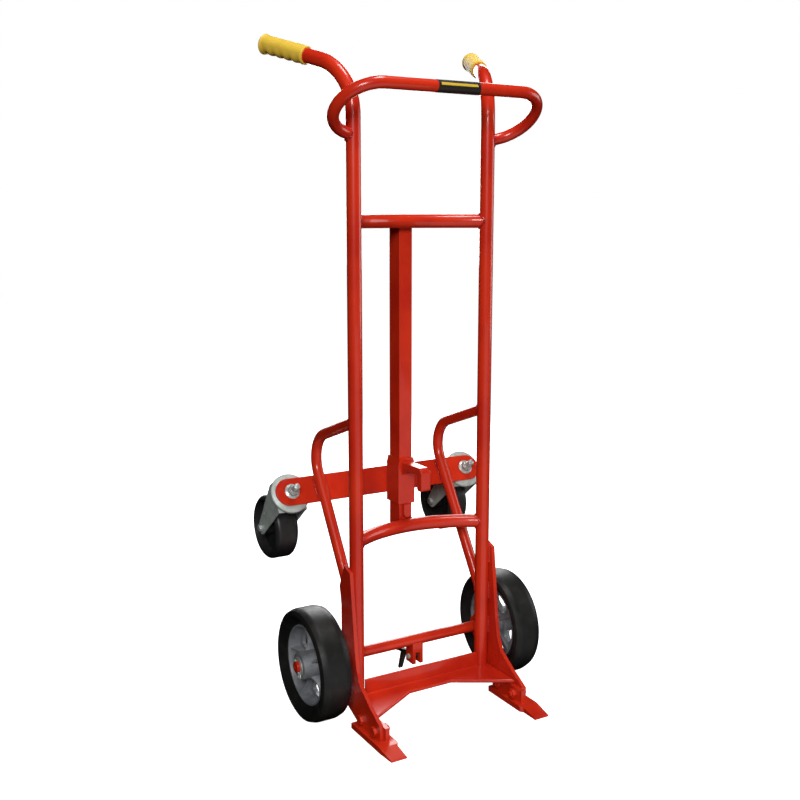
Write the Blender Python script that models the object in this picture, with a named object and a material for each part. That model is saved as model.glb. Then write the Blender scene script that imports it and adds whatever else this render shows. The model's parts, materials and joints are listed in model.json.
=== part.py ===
"""Steel drum hand truck: tube frame, two main wheels, two swivel casters, sliding chime hook.

Directions: +X is the right-hand side seen from the load, -Y points to the load, +Z is up.
Sizes are in metres.  The datum used below is the floor point midway between the two rails.  The
empty `truck` carries every piece and moves that datum so that the world origin is the middle of
the truck's footprint.
"""
import math

import bmesh
import bpy
from mathutils import Matrix, Vector

# ---------------------------------------------------------------- driving dimensions
FIT = 0.0003                    # gap between pieces that touch

# rails, with the handles bent outwards and to the rear
RAIL_OD = 0.0318
RAIL_WALL = 0.0040
RAIL_X = 0.1675                 # half the distance between the rails' centre lines
HANDLE_BEND_Z = 1.320           # height where the handle bend starts
HANDLE_BEND_R = 0.120
HANDLE_TURN = math.radians(74.0)
HANDLE_SPLAY = math.radians(24.5)
HANDLE_NECK = 0.036             # straight tube between the bend and the grip
GRIP_LENGTH = 0.125
GRIP_WALL = 0.0018
GRIP_END_WALL = 0.005
GRIP_FLANGE_RISE = 0.0017       # how far the end flange stands out from the grip
GRIP_FLANGE = 0.006
GRIP_LIP = 0.002                # how much smaller the flange is at the grip's very end
GRIP_SWELLS = 4
GRIP_SWELL_LENGTH = 0.108       # the stretch of the grip that carries the finger swells
GRIP_SWELL_DEPTH = 0.0011

# loop handle at the front of the rails
LOOP_OD = 0.0254
LOOP_WALL = 0.0040
LOOP_DROP = 0.040               # from the handle bend's start down to the loop's ends
LOOP_TILT = math.radians(54.5)  # lean of the loop's plane from the vertical, towards the load
LOOP_BEND_R = 0.0775
LOOP_INSET = 0.006              # how far inside the rail's centre line each bend ends
LOOP_STUB = 0.001               # straight end of each leg, inside the rail's cope

# cross tubes, bowed to the rear so that a drum lies between the rails
CROSS_OD = 0.0310
CROSS_WALL = 0.003
CROSS_BOW = 0.0565
UPPER_CROSS_DROP = 0.216        # from the handle bend's start down to the upper tube
LOWER_CROSS_Z = 0.407

# centre post
POST_WIDTH = 0.033
POST_DEPTH = 0.0455
POST_WALL = 0.002
POST_OVERRUN = 0.006            # how far the post runs past each cross tube's centre line

# side plates, with the axle through them
PLATE_THICK = 0.009
PLATE_TOP_Z = 0.355
PLATE_FRONT_Y = -0.150
AXLE_R = 0.0127
AXLE_Y = 0.048
AXLE_EAR_R = 0.0235
AXLE_CHAMFER = 0.0015
PLATE_HOLE_R = 0.0035
PLATE_HOLE_Y = -0.039
PLATE_HOLE_Z = 0.079
PLATE_FRONT_EDGE = ((-0.016, PLATE_TOP_Z - 0.010), (-0.027, 0.255), (-0.036, 0.180),
                    (-0.044, 0.133), (-0.060, 0.100), (-0.105, 0.069), (PLATE_FRONT_Y, 0.044))
PLATE_HEEL = (0.002, 0.032)
PLATE_REAR_EDGE = ((0.027, 0.190), (0.027, 0.262), (0.035, 0.302), (0.012, PLATE_TOP_Z))
AXLE_EAR_ARC = (math.radians(-52.0), math.radians(62.0))

# toe cross plate, an angle section between the side plates
CROSS_PLATE_TOP_Z = 0.052
CROSS_PLATE_THICK = 0.008
CROSS_PLATE_LIP = 0.034
CROSS_PLATE_LIP_Y = -0.011
CROSS_PLATE_NOSE_Y = -0.0445
CROSS_PLATE_CORNER_Y = -0.118
CROSS_PLATE_NOSE_X = 0.055

# toes, forged steel fingers bolted to the side plates
TOE_THICK = 0.0130
TOE_ROOT_Y = -0.045
TOE_TIP_Y = -0.220
TOE_INNER = 0.0277              # overhang inside the side plate's middle
TOE_OUTER = 0.0192              # overhang outside it
TOE_TAPER_Y = -0.170
TOE_TIP_THICK = 0.003
TOE_NOTCH = 0.006
TOE_STEP = 0.001
LUG_THICK = 0.010
LUG_TOP_Z = 0.042
LUG_FRONT_Y = -0.158
TOE_BOLT_Y = (-0.068, -0.130)
TOE_BOLT_Z = 0.027
TOE_BOLT_R = 0.00635
TOE_BOLT_HEX = 0.0095           # half the width across flats
TOE_BOLT_HEAD = 0.008
TOE_NUT_HEIGHT = 0.0095
BOLT_STICK_OUT = 0.004

# main wheels
TYRE_R = 0.127
TYRE_WIDTH = 0.075
RIM_R = 0.090
RIM_WALL = 0.007
RIM_OUTBOARD = 0.032            # from the wheel's middle plane to the rim's outer edge
RIM_INBOARD = 0.0225
TYRE_BEAD_HALF = 0.0265
TYRE_SHOULDER = 0.0145
TYRE_BULGE = (0.52, 0.64)       # where the side wall is widest, as shares of the tyre's depth
TYRE_CORNER = (0.30, 0.88)      # the shoulder's corner, as shares of its width and the depth
SPACER_LENGTH = 0.024           # between each side plate and its wheel's boss
BOSS_R = 0.031
BOSS_HALF = 0.0357
BOSS_CHAMFER = 0.002
WEB_THICK = 0.008
WEB_INBOARD = 0.008             # how far the web lies inboard of the wheel's middle plane
WEB_FILLET = 0.003
WINDOWS = 5
WINDOW_ANGLE = math.radians(42.0)
WINDOW_HALF_SPAN = math.radians(24.0)
WINDOW_INNER_R = 0.042
WINDOW_OUTER_R = 0.076
RIB_THICK = 0.008
RIB_OUTBOARD = 0.027
RIB_INBOARD = 0.019
BUSH_WALL = 0.0055
WASHER_RING = 0.0088            # from the axle's skin out to the washer's edge
WASHER_THICK = 0.0025
SPACER_RING = 0.0063            # from the axle's skin out to the spacer's edge
COTTER_R = 0.0020
COTTER_EYE_R = 0.0055
COTTER_EYE_GAP = 0.004          # from the axle's skin out to the pin's eye
COTTER_TAIL = 0.008
COTTER_ANGLE = math.radians(-125.0)
AXLE_STICK_OUT = 0.0095

# rear struts and the bar that carries the casters
STRUT_OD = 0.0254
STRUT_WALL = 0.0021
STRUT_TOP_Z = 0.678             # height where the strut's top leg reaches the rail's centre line
STRUT_CORNER_Y = 0.2336
STRUT_TOP_SLOPE = math.radians(19.5)
STRUT_LEAN = math.radians(32.5)
STRUT_BEND_R = 0.067
BAR_DROP = 0.116                # from the strut's corner down its straight leg to the bar
BAR_WIDTH = 0.065
BAR_THICK = 0.0050
BAR_END_REACH = 0.007           # from each kingpin out to the centre of the bar's round end
CASTER_OUT = 0.0705             # from each rail's centre line out to the kingpin

# casters, measured from the bar's rear face along the swivel axis
CASTER_DROP = 0.138
CASTER_TRAIL = 0.036
CASTER_WHEEL_R = 0.0762
CASTER_WHEEL_WIDTH = 0.060
CASTER_SHOULDER = 0.008
CASTER_BOSS_R = 0.017
CASTER_WEB = 0.008
CASTER_TREAD = 0.012            # depth of the wheel's solid tread
RACE_R = 0.048
RACE_HEIGHT = 0.014
RACE_WALL = 0.0025
RACE_CROWN = 0.010              # width of the cup's rounded upper edge
RACE_LIP = 0.003
FORK_THICK = 0.0030
FORK_GAP = 0.0025               # side clearance between the wheel and each leg
FORK_CROWN = 0.005
FORK_FRONT = 0.033              # from the swivel axis to the legs' front edge
FORK_BACK = 0.041
FORK_SHOULDER = 0.016           # height of the legs' straight upper edges
FORK_END_R = 0.0165
FORK_HOLE_R = 0.003
FORK_HOLE_RISE = 0.036          # from the wheel's axle up the leg to the small hole
FORK_HOLE_FORWARD = 0.024
KINGPIN_R = 0.0075
KINGPIN_HEX = 0.0115
KINGPIN_HEAD = 0.007
STUD_EASE = 0.001
KINGPIN_REACH = 0.036           # how far the kingpin stands out in front of the bar
KING_FLANGE_R = 0.0180
KING_FLANGE_THICK = 0.0025
KING_NUT_HEIGHT = 0.0135
CASTER_BOLT_R = 0.0048
CASTER_BOLT_HEX = 0.0072
CASTER_BOLT_HEAD = 0.008
CASTER_NUT_HEIGHT = 0.009
CASTER_STICK_OUT = 0.002
CASTER_BUSH_R = 0.0078

# slider with its chime hook, and the stop it rests on
SLIDE_CLEARANCE = 0.0006
SLIDER_WALL = 0.0045
SLIDER_LOW_Z = 0.457
SLIDER_HEIGHT = 0.108
SLIDER_CHAMFER = 0.0035
SLIDER_CHAMFER_HEIGHT = 0.016
HOOK_WIDTH = 0.026
HOOK_REACH = 0.086
HOOK_TOP_DROP = 0.008
HOOK_THICK = 0.018
HOOK_NOSE = 0.053
HOOK_NOSE_DEPTH = 0.020         # of the nose that hangs at the hook's tip
HOOK_ROUND = 0.012              # bend over the tip
HOOK_ROOT = 0.013               # gusset under the root
HOOK_EASE = 0.004               # chamfer on the nose's foot
STOP_HALF_WIDTH = 0.0095
STOP_DEPTH = 0.010
STOP_HEIGHT = 0.033

# foot pedal under the axle
PEDAL_X = 0.012
PEDAL_WIDTH = 0.010
PEDAL_PIVOT_DROP = 0.040        # from the axle's centre down to the pedal's pin
PEDAL_PIVOT_BACK = 0.004
PEDAL_EYE_R = 0.010
PEDAL_REACH = 0.098
PEDAL_FALL = 0.014
PEDAL_ARM = 0.009
PEDAL_LEG = 0.050               # how far the leg hangs below the lever
PEDAL_LEG_THICK = 0.007
PEDAL_LEG_RAKE = 0.020          # how far the leg's foot lies behind its root
PEDAL_PIN_R = 0.0040
PEDAL_SIDE_GAP = 0.0005
BRACKET_WIDTH = 0.028
BRACKET_LOW = 0.055             # from the axle's centre down to the bracket's lower edge
BRACKET_HALF_DEPTH = 0.014
BRACKET_TOP_DROP = 0.004        # from the axle's centre down to the bracket's upper edge
BRACKET_SLOT_GAP = 0.002        # above the pedal's eye
PEDAL_PIN_HEAD = (0.003, 0.002) # its thickness, and how far it stands out past the pin

# cutters and facets
DRILL_PAST = 0.010              # how far a cutter runs past the face it cuts
DRILL_FAR = 0.050               # the same where nothing else is in its way
TUBE_SIDES = 12
BEND_STEPS = 6
BOLT_SIDES = 12
SHAFT_SIDES = 18
WHEEL_SIDES = 32
CASTER_SIDES = 24

# ---------------------------------------------------------------- sizes that follow
RAIL_R = RAIL_OD / 2
LOOP_Z = HANDLE_BEND_Z - LOOP_DROP
UPPER_CROSS_Z = HANDLE_BEND_Z - UPPER_CROSS_DROP
CASTER_X = RAIL_X + CASTER_OUT
PLATE_INNER_X = RAIL_X + RAIL_R + FIT
PLATE_OUTER_X = PLATE_INNER_X + PLATE_THICK
PLATE_LOW_Z = TOE_THICK + FIT
WHEEL_X = PLATE_OUTER_X + SPACER_LENGTH + 2 * FIT + BOSS_HALF
AXLE_Z = TYRE_R
STRUT_X = RAIL_X
FORK_INNER = CASTER_WHEEL_WIDTH / 2 + FORK_GAP
POST_FRONT_Y = CROSS_BOW + CROSS_OD / 2 + FIT
POST_BACK_Y = POST_FRONT_Y + POST_DEPTH
AXLE_HALF = WHEEL_X + BOSS_HALF + AXLE_STICK_OUT
STRUT_DOWN = Vector((0.0, -math.sin(STRUT_LEAN), -math.cos(STRUT_LEAN)))
SWIVEL_DOWN = Vector((0.0, math.cos(STRUT_LEAN), -math.sin(STRUT_LEAN)))
STRUT_CORNER = Vector((STRUT_X, STRUT_CORNER_Y,
                       STRUT_TOP_Z - STRUT_CORNER_Y * math.tan(STRUT_TOP_SLOPE)))
BAR_MIDDLE = STRUT_CORNER + STRUT_DOWN * BAR_DROP
BAR_MIDDLE = BAR_MIDDLE + SWIVEL_DOWN * (STRUT_OD / 2 + FIT + BAR_THICK)
CASTER_TURN = math.pi / 2 - STRUT_LEAN
CASTER_AXLE_Y = BAR_MIDDLE.y + SWIVEL_DOWN.y * CASTER_DROP + STRUT_DOWN.y * CASTER_TRAIL
FOOTPRINT_MIDDLE_Y = (TOE_TIP_Y + CASTER_AXLE_Y + CASTER_WHEEL_R) / 2

# ---------------------------------------------------------------- placements
PLAN = Matrix.Identity(4)                                       # outline (x, y), extruded up
SIDE = Matrix(((0, 0, 1, 0), (1, 0, 0, 0), (0, 1, 0, 0), (0, 0, 0, 1)))  # (y, z), along X
FRONT = Matrix.Rotation(math.pi / 2, 4, "X")                    # outline (x, z), towards -Y
ALONG_X = Matrix.Rotation(math.pi / 2, 4, "Y")                  # a turned piece with its axis on X

# colour, metallic, roughness
FINISHES = {
    "red_paint": ((0.60, 0.032, 0.018, 1.0), 0.0, 0.32),
    "yellow_grip": ((0.76, 0.49, 0.045, 1.0), 0.0, 0.55),
    "tyre_rubber": ((0.018, 0.017, 0.016, 1.0), 0.0, 0.75),
    "cast_hub": ((0.16, 0.165, 0.18, 1.0), 0.6, 0.5),
    "zinc": ((0.42, 0.44, 0.44, 1.0), 0.9, 0.4),
    "bronze": ((0.42, 0.30, 0.13, 1.0), 0.9, 0.4),
    "black_steel": ((0.03, 0.03, 0.032, 1.0), 0.4, 0.5),
    "black_polymer": ((0.015, 0.015, 0.015, 1.0), 0.0, 0.6),
}


def bore(shaft_radius, sides=SHAFT_SIDES):
    """Corner radius of a faceted bore whose flats clear a shaft at every angle."""
    return (shaft_radius + FIT) / math.cos(math.pi / sides)


# ---------------------------------------------------------------- scene helpers
def clear_scene():
    for old in list(bpy.data.objects):
        bpy.data.objects.remove(old, do_unlink=True)


def add_empty(name, place, parent=None):
    empty = bpy.data.objects.new(name, None)
    bpy.context.scene.collection.objects.link(empty)
    empty.parent = parent
    empty.matrix_local = place
    return empty


def make_material(name, finish):
    colour, metallic, roughness = FINISHES[finish]
    material = bpy.data.materials.new(name)
    material.use_nodes = True
    shader = material.node_tree.nodes["Principled BSDF"]
    shader.inputs["Base Color"].default_value = colour
    shader.inputs["Metallic"].default_value = metallic
    shader.inputs["Roughness"].default_value = roughness
    return material


def add_piece(name, shape, finish, parent, place=PLAN):
    """Link one piece, with its own material, at a place in its parent's frame."""
    mesh = bpy.data.meshes.new(name)
    shape.to_mesh(mesh)
    shape.free()
    mesh.shade_smooth()
    mesh.set_sharp_from_angle(angle=math.radians(32))
    mesh.materials.append(make_material(name, finish))
    piece = bpy.data.objects.new(name, mesh)
    bpy.context.scene.collection.objects.link(piece)
    piece.parent = parent
    piece.matrix_local = place
    return piece


def add_cutter(name, shape, parent, place=PLAN):
    mesh = bpy.data.meshes.new(name)
    shape.to_mesh(mesh)
    shape.free()
    cutter = bpy.data.objects.new(name, mesh)
    bpy.context.scene.collection.objects.link(cutter)
    cutter.parent = parent
    cutter.matrix_local = place
    cutter.hide_render = True
    cutter.display_type = "WIRE"
    return cutter


def combine(piece, operand, operation="DIFFERENCE"):
    modifier = piece.modifiers.new(operand.name, "BOOLEAN")
    modifier.operation = operation
    modifier.solver = "EXACT"
    modifier.object = operand


# ---------------------------------------------------------------- shape helpers
def skin(rings, closed):
    """Join rings of points into one closed body: a loop of rings, or a stack with two caps."""
    shape = bmesh.new()
    verts = [[shape.verts.new(point) for point in ring] for ring in rings]
    followers = verts[1:] + verts[:1] if closed else verts[1:]
    for ring, following in zip(verts, followers):
        count = len(ring)
        for index in range(count):
            after = (index + 1) % count
            shape.faces.new((ring[index], ring[after], following[after], following[index]))
    if not closed:
        shape.faces.new(verts[0])
        shape.faces.new(verts[-1])
    bmesh.ops.recalc_face_normals(shape, faces=shape.faces)
    return shape


def hex_scale(angle):
    """Radius of a hexagon, over half its width across flats, at an angle."""
    return 1.0 / math.cos((angle % (math.pi / 3)) - math.pi / 6)


def turned(profile, sides, hollow=False):
    """Turn (along, radius) points about Z; a third entry "hex" makes that ring a hexagon."""
    rings = []
    for along, radius, *shape in profile:
        ring = []
        for index in range(sides):
            angle = math.tau * index / sides
            reach = radius * hex_scale(angle) if shape else radius
            ring.append((reach * math.cos(angle), reach * math.sin(angle), along))
        rings.append(ring)
    return skin(rings, hollow)


def ring_section(low, high, inner, outer, *shape):
    """Profile of a plain ring from low to high along its axis."""
    return [(low, inner), (low, outer, *shape), (high, outer, *shape), (high, inner)]


def prism(outline, low, high):
    """Extrude an outline in XY from low to high along Z."""
    return skin([[(u, v, low) for u, v in outline], [(u, v, high) for u, v in outline]], False)


def box(low, high):
    outline = [(low[0], low[1]), (high[0], low[1]), (high[0], high[1]), (low[0], high[1])]
    return prism(outline, low[2], high[2])


def arc(centre, radius, start, end, steps):
    """Points on a circular arc, from start to end in radians."""
    points = []
    for index in range(steps + 1):
        angle = start + (end - start) * index / steps
        points.append((centre[0] + radius * math.cos(angle), centre[1] + radius * math.sin(angle)))
    return points


def bent_path(corners, radius, steps=BEND_STEPS):
    """A path along straight lines with every inner corner rounded to one bend radius."""
    path = [corners[0]]
    for before, corner, after in zip(corners, corners[1:], corners[2:]):
        back = (before - corner).normalized()
        ahead = (after - corner).normalized()
        half = back.angle(ahead) / 2
        centre = corner + (back + ahead).normalized() * radius / math.sin(half)
        first = corner + back * radius / math.tan(half) - centre
        last = corner + ahead * radius / math.tan(half) - centre
        turn = math.pi - 2 * half
        for index in range(steps + 1):
            share = index / steps
            spoke = first * math.sin((1 - share) * turn) + last * math.sin(share * turn)
            point = centre + spoke / math.sin(turn)
            if (point - path[-1]).length > FIT:
                path.append(point)
    path.append(corners[-1])
    return path


def path_rings(path, radius, plane_normal, sides=TUBE_SIDES):
    """Circles of one radius along a path that lies in a plane, mitred at each of its points."""
    rings = []
    for index, point in enumerate(path):
        arriving = (point - path[max(index - 1, 0)]).normalized()
        leaving = (path[min(index + 1, len(path) - 1)] - point).normalized()
        tangent = (arriving + leaving).normalized()
        across = tangent.cross(plane_normal)
        ring = []
        for step in range(sides):
            angle = math.tau * step / sides
            ring.append(point + (across * math.cos(angle) + plane_normal * math.sin(angle)) * radius)
        rings.append(ring)
    return rings


def tube(path, outer_diameter, wall, plane_normal):
    outside = path_rings(path, outer_diameter / 2, plane_normal)
    inside = path_rings(path, outer_diameter / 2 - wall, plane_normal)
    return skin(outside + inside[::-1], True)


def rod(path, radius, plane_normal, sides=TUBE_SIDES):
    return skin(path_rings(path, radius, plane_normal, sides), False)


def aim(origin, direction):
    """A frame at origin whose Z axis points in a direction."""
    turn = direction.to_track_quat("Z", "Y").to_matrix().to_4x4()
    return Matrix.Translation(origin) @ turn


# ---------------------------------------------------------------- frame tubes
def handle_heading(side):
    """Direction of the rail's last straight stretch, out and to the rear."""
    flat = math.sin(HANDLE_TURN)
    return Vector((side * flat * math.sin(HANDLE_SPLAY), flat * math.cos(HANDLE_SPLAY),
                   math.cos(HANDLE_TURN)))


def handle_corner(side):
    rise = HANDLE_BEND_R * math.tan(HANDLE_TURN / 2)
    return Vector((side * RAIL_X, 0.0, HANDLE_BEND_Z + rise))


def rail_path(side):
    foot = Vector((side * RAIL_X, 0.0, CROSS_PLATE_TOP_Z + FIT))
    corner = handle_corner(side)
    past_corner = HANDLE_BEND_R * math.tan(HANDLE_TURN / 2) + HANDLE_NECK
    end = corner + handle_heading(side) * (past_corner + GRIP_LENGTH - GRIP_END_WALL - FIT)
    return bent_path([foot, corner, end], HANDLE_BEND_R)


def rail_plane(side):
    return Vector((side * math.cos(HANDLE_SPLAY), -math.sin(HANDLE_SPLAY), 0.0))


def make_rails(truck):
    cutters = {}
    for side, word in ((-1, "left"), (1, "right")):
        path = rail_path(side)
        add_piece(f"rail_{word}", tube(path, RAIL_OD, RAIL_WALL, rail_plane(side)),
                  "red_paint", truck)
        cutters[side] = add_cutter(f"rail_{word}_cope", rod(path, RAIL_R + FIT, rail_plane(side)),
                                   truck)
    return cutters


def make_grips(truck):
    """Closed sleeves pushed over the rails' ends, with finger swells and an end flange."""
    inner = bore(RAIL_R, TUBE_SIDES)
    radius = inner + GRIP_WALL
    flange = radius + GRIP_FLANGE_RISE
    profile = [(GRIP_LENGTH - GRIP_END_WALL, inner), (0.0, inner), (0.0, radius)]
    for index in range(1, 2 * GRIP_SWELLS + 1):
        along = GRIP_SWELL_LENGTH * index / (2 * GRIP_SWELLS)
        profile.append((along, radius - GRIP_SWELL_DEPTH * (index % 2)))
    profile.append((GRIP_LENGTH - GRIP_FLANGE, flange))
    profile.append((GRIP_LENGTH, flange - GRIP_LIP))
    for side, word in ((-1, "left"), (1, "right")):
        heading = handle_heading(side)
        start = handle_corner(side)
        start = start + heading * (HANDLE_BEND_R * math.tan(HANDLE_TURN / 2) + HANDLE_NECK)
        add_piece(f"grip_{word}", turned(profile, SHAFT_SIDES), "yellow_grip", truck,
                  aim(start, heading))


def loop_plane_down():
    """Unit vector down the loop's plane, from its front bar to the rails."""
    return Vector((0.0, math.sin(LOOP_TILT), -math.cos(LOOP_TILT)))


def make_loop_handle(truck, rail_cutters):
    """Front loop: a bar and two half-circle ends in one tilted plane, coped to the rails."""
    half = RAIL_X - LOOP_INSET
    low = Vector((0.0, 0.0, LOOP_Z))
    high = low - loop_plane_down() * 2 * LOOP_BEND_R
    out = Vector((1.0, 0.0, 0.0))
    reach = half + LOOP_BEND_R
    end = half - LOOP_STUB
    corners = [low + out * end, low + out * reach, high + out * reach,
               high - out * reach, low - out * reach, low - out * end]
    normal = out.cross(loop_plane_down())
    loop = add_piece("loop_handle", tube(bent_path(corners, LOOP_BEND_R), LOOP_OD, LOOP_WALL, normal),
                     "red_paint", truck)
    for cutter in rail_cutters.values():
        combine(loop, cutter)


def bowed_path(height):
    """Arc through both rails' centre lines and the middle of the bow."""
    radius = (RAIL_X ** 2 + CROSS_BOW ** 2) / (2 * CROSS_BOW)
    reach = math.asin(RAIL_X / radius)
    steps = 2 * BEND_STEPS
    path = []
    for index in range(steps + 1):
        angle = reach * (2 * index / steps - 1)
        path.append(Vector((radius * math.sin(angle), CROSS_BOW - radius * (1 - math.cos(angle)),
                            height)))
    return path


def make_cross_tubes(truck, rail_cutters):
    for name, height in (("upper_cross_tube", UPPER_CROSS_Z), ("lower_cross_tube", LOWER_CROSS_Z)):
        shape = tube(bowed_path(height), CROSS_OD, CROSS_WALL, Vector((0.0, 0.0, 1.0)))
        piece = add_piece(name, shape, "red_paint", truck)
        for cutter in rail_cutters.values():
            combine(piece, cutter)


def make_centre_post(truck):
    """Rectangular tube behind the two cross tubes, the track of the slider."""
    low = LOWER_CROSS_Z - POST_OVERRUN
    high = UPPER_CROSS_Z + POST_OVERRUN
    middle = (POST_FRONT_Y + POST_BACK_Y) / 2
    rings = []
    for height, inset in ((low, 0.0), (high, 0.0), (high, POST_WALL), (low, POST_WALL)):
        x = POST_WIDTH / 2 - inset
        y = POST_DEPTH / 2 - inset
        rings.append([(-x, middle - y, height), (x, middle - y, height),
                      (x, middle + y, height), (-x, middle + y, height)])
    add_piece("centre_post", skin(rings, True), "red_paint", truck)


def make_struts(truck, rail_cutters):
    for side, word in ((-1, "left"), (1, "right")):
        corner = Vector((side * STRUT_X, STRUT_CORNER.y, STRUT_CORNER.z))
        top = Vector((side * STRUT_X, 0.0, STRUT_TOP_Z))
        foot = corner + STRUT_DOWN * (corner.y / math.sin(STRUT_LEAN))
        shape = tube(bent_path([top, corner, foot], STRUT_BEND_R), STRUT_OD, STRUT_WALL,
                     Vector((1.0, 0.0, 0.0)))
        strut = add_piece(f"strut_{word}", shape, "red_paint", truck)
        combine(strut, rail_cutters[side])


# ---------------------------------------------------------------- plates and toes
def side_plate_outline():
    """Outline in (y, z): foot over the toe, curved front edge, ear round the axle."""
    ear = arc((AXLE_Y, AXLE_Z), AXLE_EAR_R, *AXLE_EAR_ARC, 8)
    sole = [(PLATE_FRONT_Y, PLATE_LOW_Z), (TOE_ROOT_Y, PLATE_LOW_Z), PLATE_HEEL]
    return [*PLATE_FRONT_EDGE, *sole, *ear, *PLATE_REAR_EDGE]


def make_side_plates(truck):
    outline = side_plate_outline()
    for side, word in ((-1, "left"), (1, "right")):
        low, high = sorted((side * PLATE_INNER_X, side * PLATE_OUTER_X))
        plate = add_piece(f"side_plate_{word}", prism(outline, low, high), "red_paint", truck, SIDE)
        holes = [(AXLE_Y, AXLE_Z, bore(AXLE_R)), (PLATE_HOLE_Y, PLATE_HOLE_Z, PLATE_HOLE_R)]
        holes += [(y, TOE_BOLT_Z, bore(TOE_BOLT_R, BOLT_SIDES)) for y in TOE_BOLT_Y]
        for number, (y, z, radius) in enumerate(holes):
            sides = SHAFT_SIDES if number == 0 else BOLT_SIDES
            drill = turned([(low - DRILL_PAST, radius), (high + DRILL_PAST, radius)], sides)
            place = Matrix.Translation((0.0, y, z)) @ ALONG_X
            combine(plate, add_cutter(f"side_plate_{word}_hole_{number}", drill, truck, place))


def make_cross_plate(truck):
    """Angle section: a flat web with a slanting front edge and an upright lip between the rails."""
    end = PLATE_INNER_X - FIT
    front = [(-end, CROSS_PLATE_CORNER_Y), (-CROSS_PLATE_NOSE_X, CROSS_PLATE_NOSE_Y),
             (CROSS_PLATE_NOSE_X, CROSS_PLATE_NOSE_Y), (end, CROSS_PLATE_CORNER_Y)]
    outline = front + [(end, RAIL_R + FIT), (-end, RAIL_R + FIT)]
    low = CROSS_PLATE_TOP_Z - CROSS_PLATE_THICK
    plate = add_piece("toe_cross_plate", prism(outline, low, CROSS_PLATE_TOP_Z), "red_paint", truck)
    reach = RAIL_X - RAIL_R - FIT
    lip = box((-reach, CROSS_PLATE_LIP_Y, low + CROSS_PLATE_THICK / 2),
              (reach, CROSS_PLATE_LIP_Y + CROSS_PLATE_THICK, CROSS_PLATE_TOP_Z + CROSS_PLATE_LIP))
    combine(plate, add_cutter("toe_cross_plate_lip", lip, truck), "UNION")


def make_toes(truck):
    """Fingers that slide under the load, each with a lug bolted inside its side plate."""
    middle = (PLATE_INNER_X + PLATE_OUTER_X) / 2
    for side, word in ((-1, "left"), (1, "right")):
        stations = [
            (TOE_ROOT_Y, TOE_INNER, TOE_OUTER, TOE_THICK),
            (TOE_TAPER_Y, TOE_INNER, TOE_OUTER, TOE_THICK),
            (TOE_TAPER_Y - TOE_NOTCH, TOE_INNER - TOE_NOTCH, TOE_OUTER, TOE_THICK - TOE_STEP),
            (TOE_TIP_Y, TOE_INNER - TOE_NOTCH, TOE_OUTER - TOE_NOTCH / 2, TOE_TIP_THICK),
        ]
        rings = []
        for y, inner, outer, height in stations:
            near = side * (middle - inner)
            far = side * (middle + outer)
            rings.append([(near, y, 0.0), (far, y, 0.0), (far, y, height), (near, y, height)])
        toe = add_piece(f"toe_{word}", skin(rings, False), "red_paint", truck)
        low, high = sorted((side * (PLATE_INNER_X - FIT - LUG_THICK), side * (PLATE_INNER_X - FIT)))
        lug = box((low, LUG_FRONT_Y, TOE_THICK / 2), (high, TOE_ROOT_Y, LUG_TOP_Z))
        combine(toe, add_cutter(f"toe_{word}_lug", lug, truck), "UNION")
        for number, y in enumerate(TOE_BOLT_Y):
            radius = bore(TOE_BOLT_R, BOLT_SIDES)
            drill = turned([(low - DRILL_PAST, radius), (high + DRILL_PAST, radius)], BOLT_SIDES)
            place = Matrix.Translation((0.0, y, TOE_BOLT_Z)) @ ALONG_X
            combine(toe, add_cutter(f"toe_{word}_hole_{number}", drill, truck, place))


def make_toe_bolts(truck):
    """Hexagon bolts through plate and lug, heads outside and nuts inside."""
    lug_face = PLATE_INNER_X - FIT - LUG_THICK
    nut_end = lug_face - FIT - TOE_NUT_HEIGHT
    head_face = PLATE_OUTER_X + FIT
    bolt = [(nut_end - BOLT_STICK_OUT, TOE_BOLT_R), (head_face, TOE_BOLT_R),
            (head_face, TOE_BOLT_HEX, "hex"), (head_face + TOE_BOLT_HEAD, TOE_BOLT_HEX, "hex")]
    nut = ring_section(nut_end, lug_face - FIT, bore(TOE_BOLT_R, BOLT_SIDES), TOE_BOLT_HEX, "hex")
    for side, word in ((-1, "left"), (1, "right")):
        outwards = ALONG_X if side > 0 else Matrix.Rotation(math.pi, 4, "Z") @ ALONG_X
        for y, end in zip(TOE_BOLT_Y, ("rear", "front")):
            place = Matrix.Translation((0.0, y, TOE_BOLT_Z)) @ outwards
            add_piece(f"toe_bolt_{word}_{end}", turned(bolt, BOLT_SIDES), "red_paint", truck, place)
            add_piece(f"toe_nut_{word}_{end}", turned(nut, BOLT_SIDES, True), "red_paint", truck,
                      place)


# ---------------------------------------------------------------- axle and main wheels
def washer_outer_x():
    return WHEEL_X + BOSS_HALF + FIT + WASHER_THICK


def make_axle(truck):
    end_r = AXLE_R - AXLE_CHAMFER
    shoulder = AXLE_HALF - AXLE_CHAMFER
    profile = [(-AXLE_HALF, end_r), (-shoulder, AXLE_R), (shoulder, AXLE_R), (AXLE_HALF, end_r)]
    place = Matrix.Translation((0.0, AXLE_Y, AXLE_Z))
    axle = add_piece("axle", turned(profile, SHAFT_SIDES), "red_paint", truck, place @ ALONG_X)
    along = Matrix.Rotation(COTTER_ANGLE, 4, "X")
    for side, word in ((-1, "left"), (1, "right")):
        x = side * (washer_outer_x() + FIT + COTTER_R)
        centre = Matrix.Translation((x, 0.0, 0.0))
        pin_hole = bore(COTTER_R, BOLT_SIDES)
        drill = turned([(-DRILL_FAR, pin_hole), (DRILL_FAR, pin_hole)], BOLT_SIDES)
        upright = Matrix.Rotation(-math.pi / 2, 4, "X")
        cutter = add_cutter(f"cotter_{word}_hole", drill, truck, place @ centre @ along @ upright)
        combine(axle, cutter)
        add_piece(f"cotter_{word}", cotter_shape(), "zinc", truck, place @ centre @ along)


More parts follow.
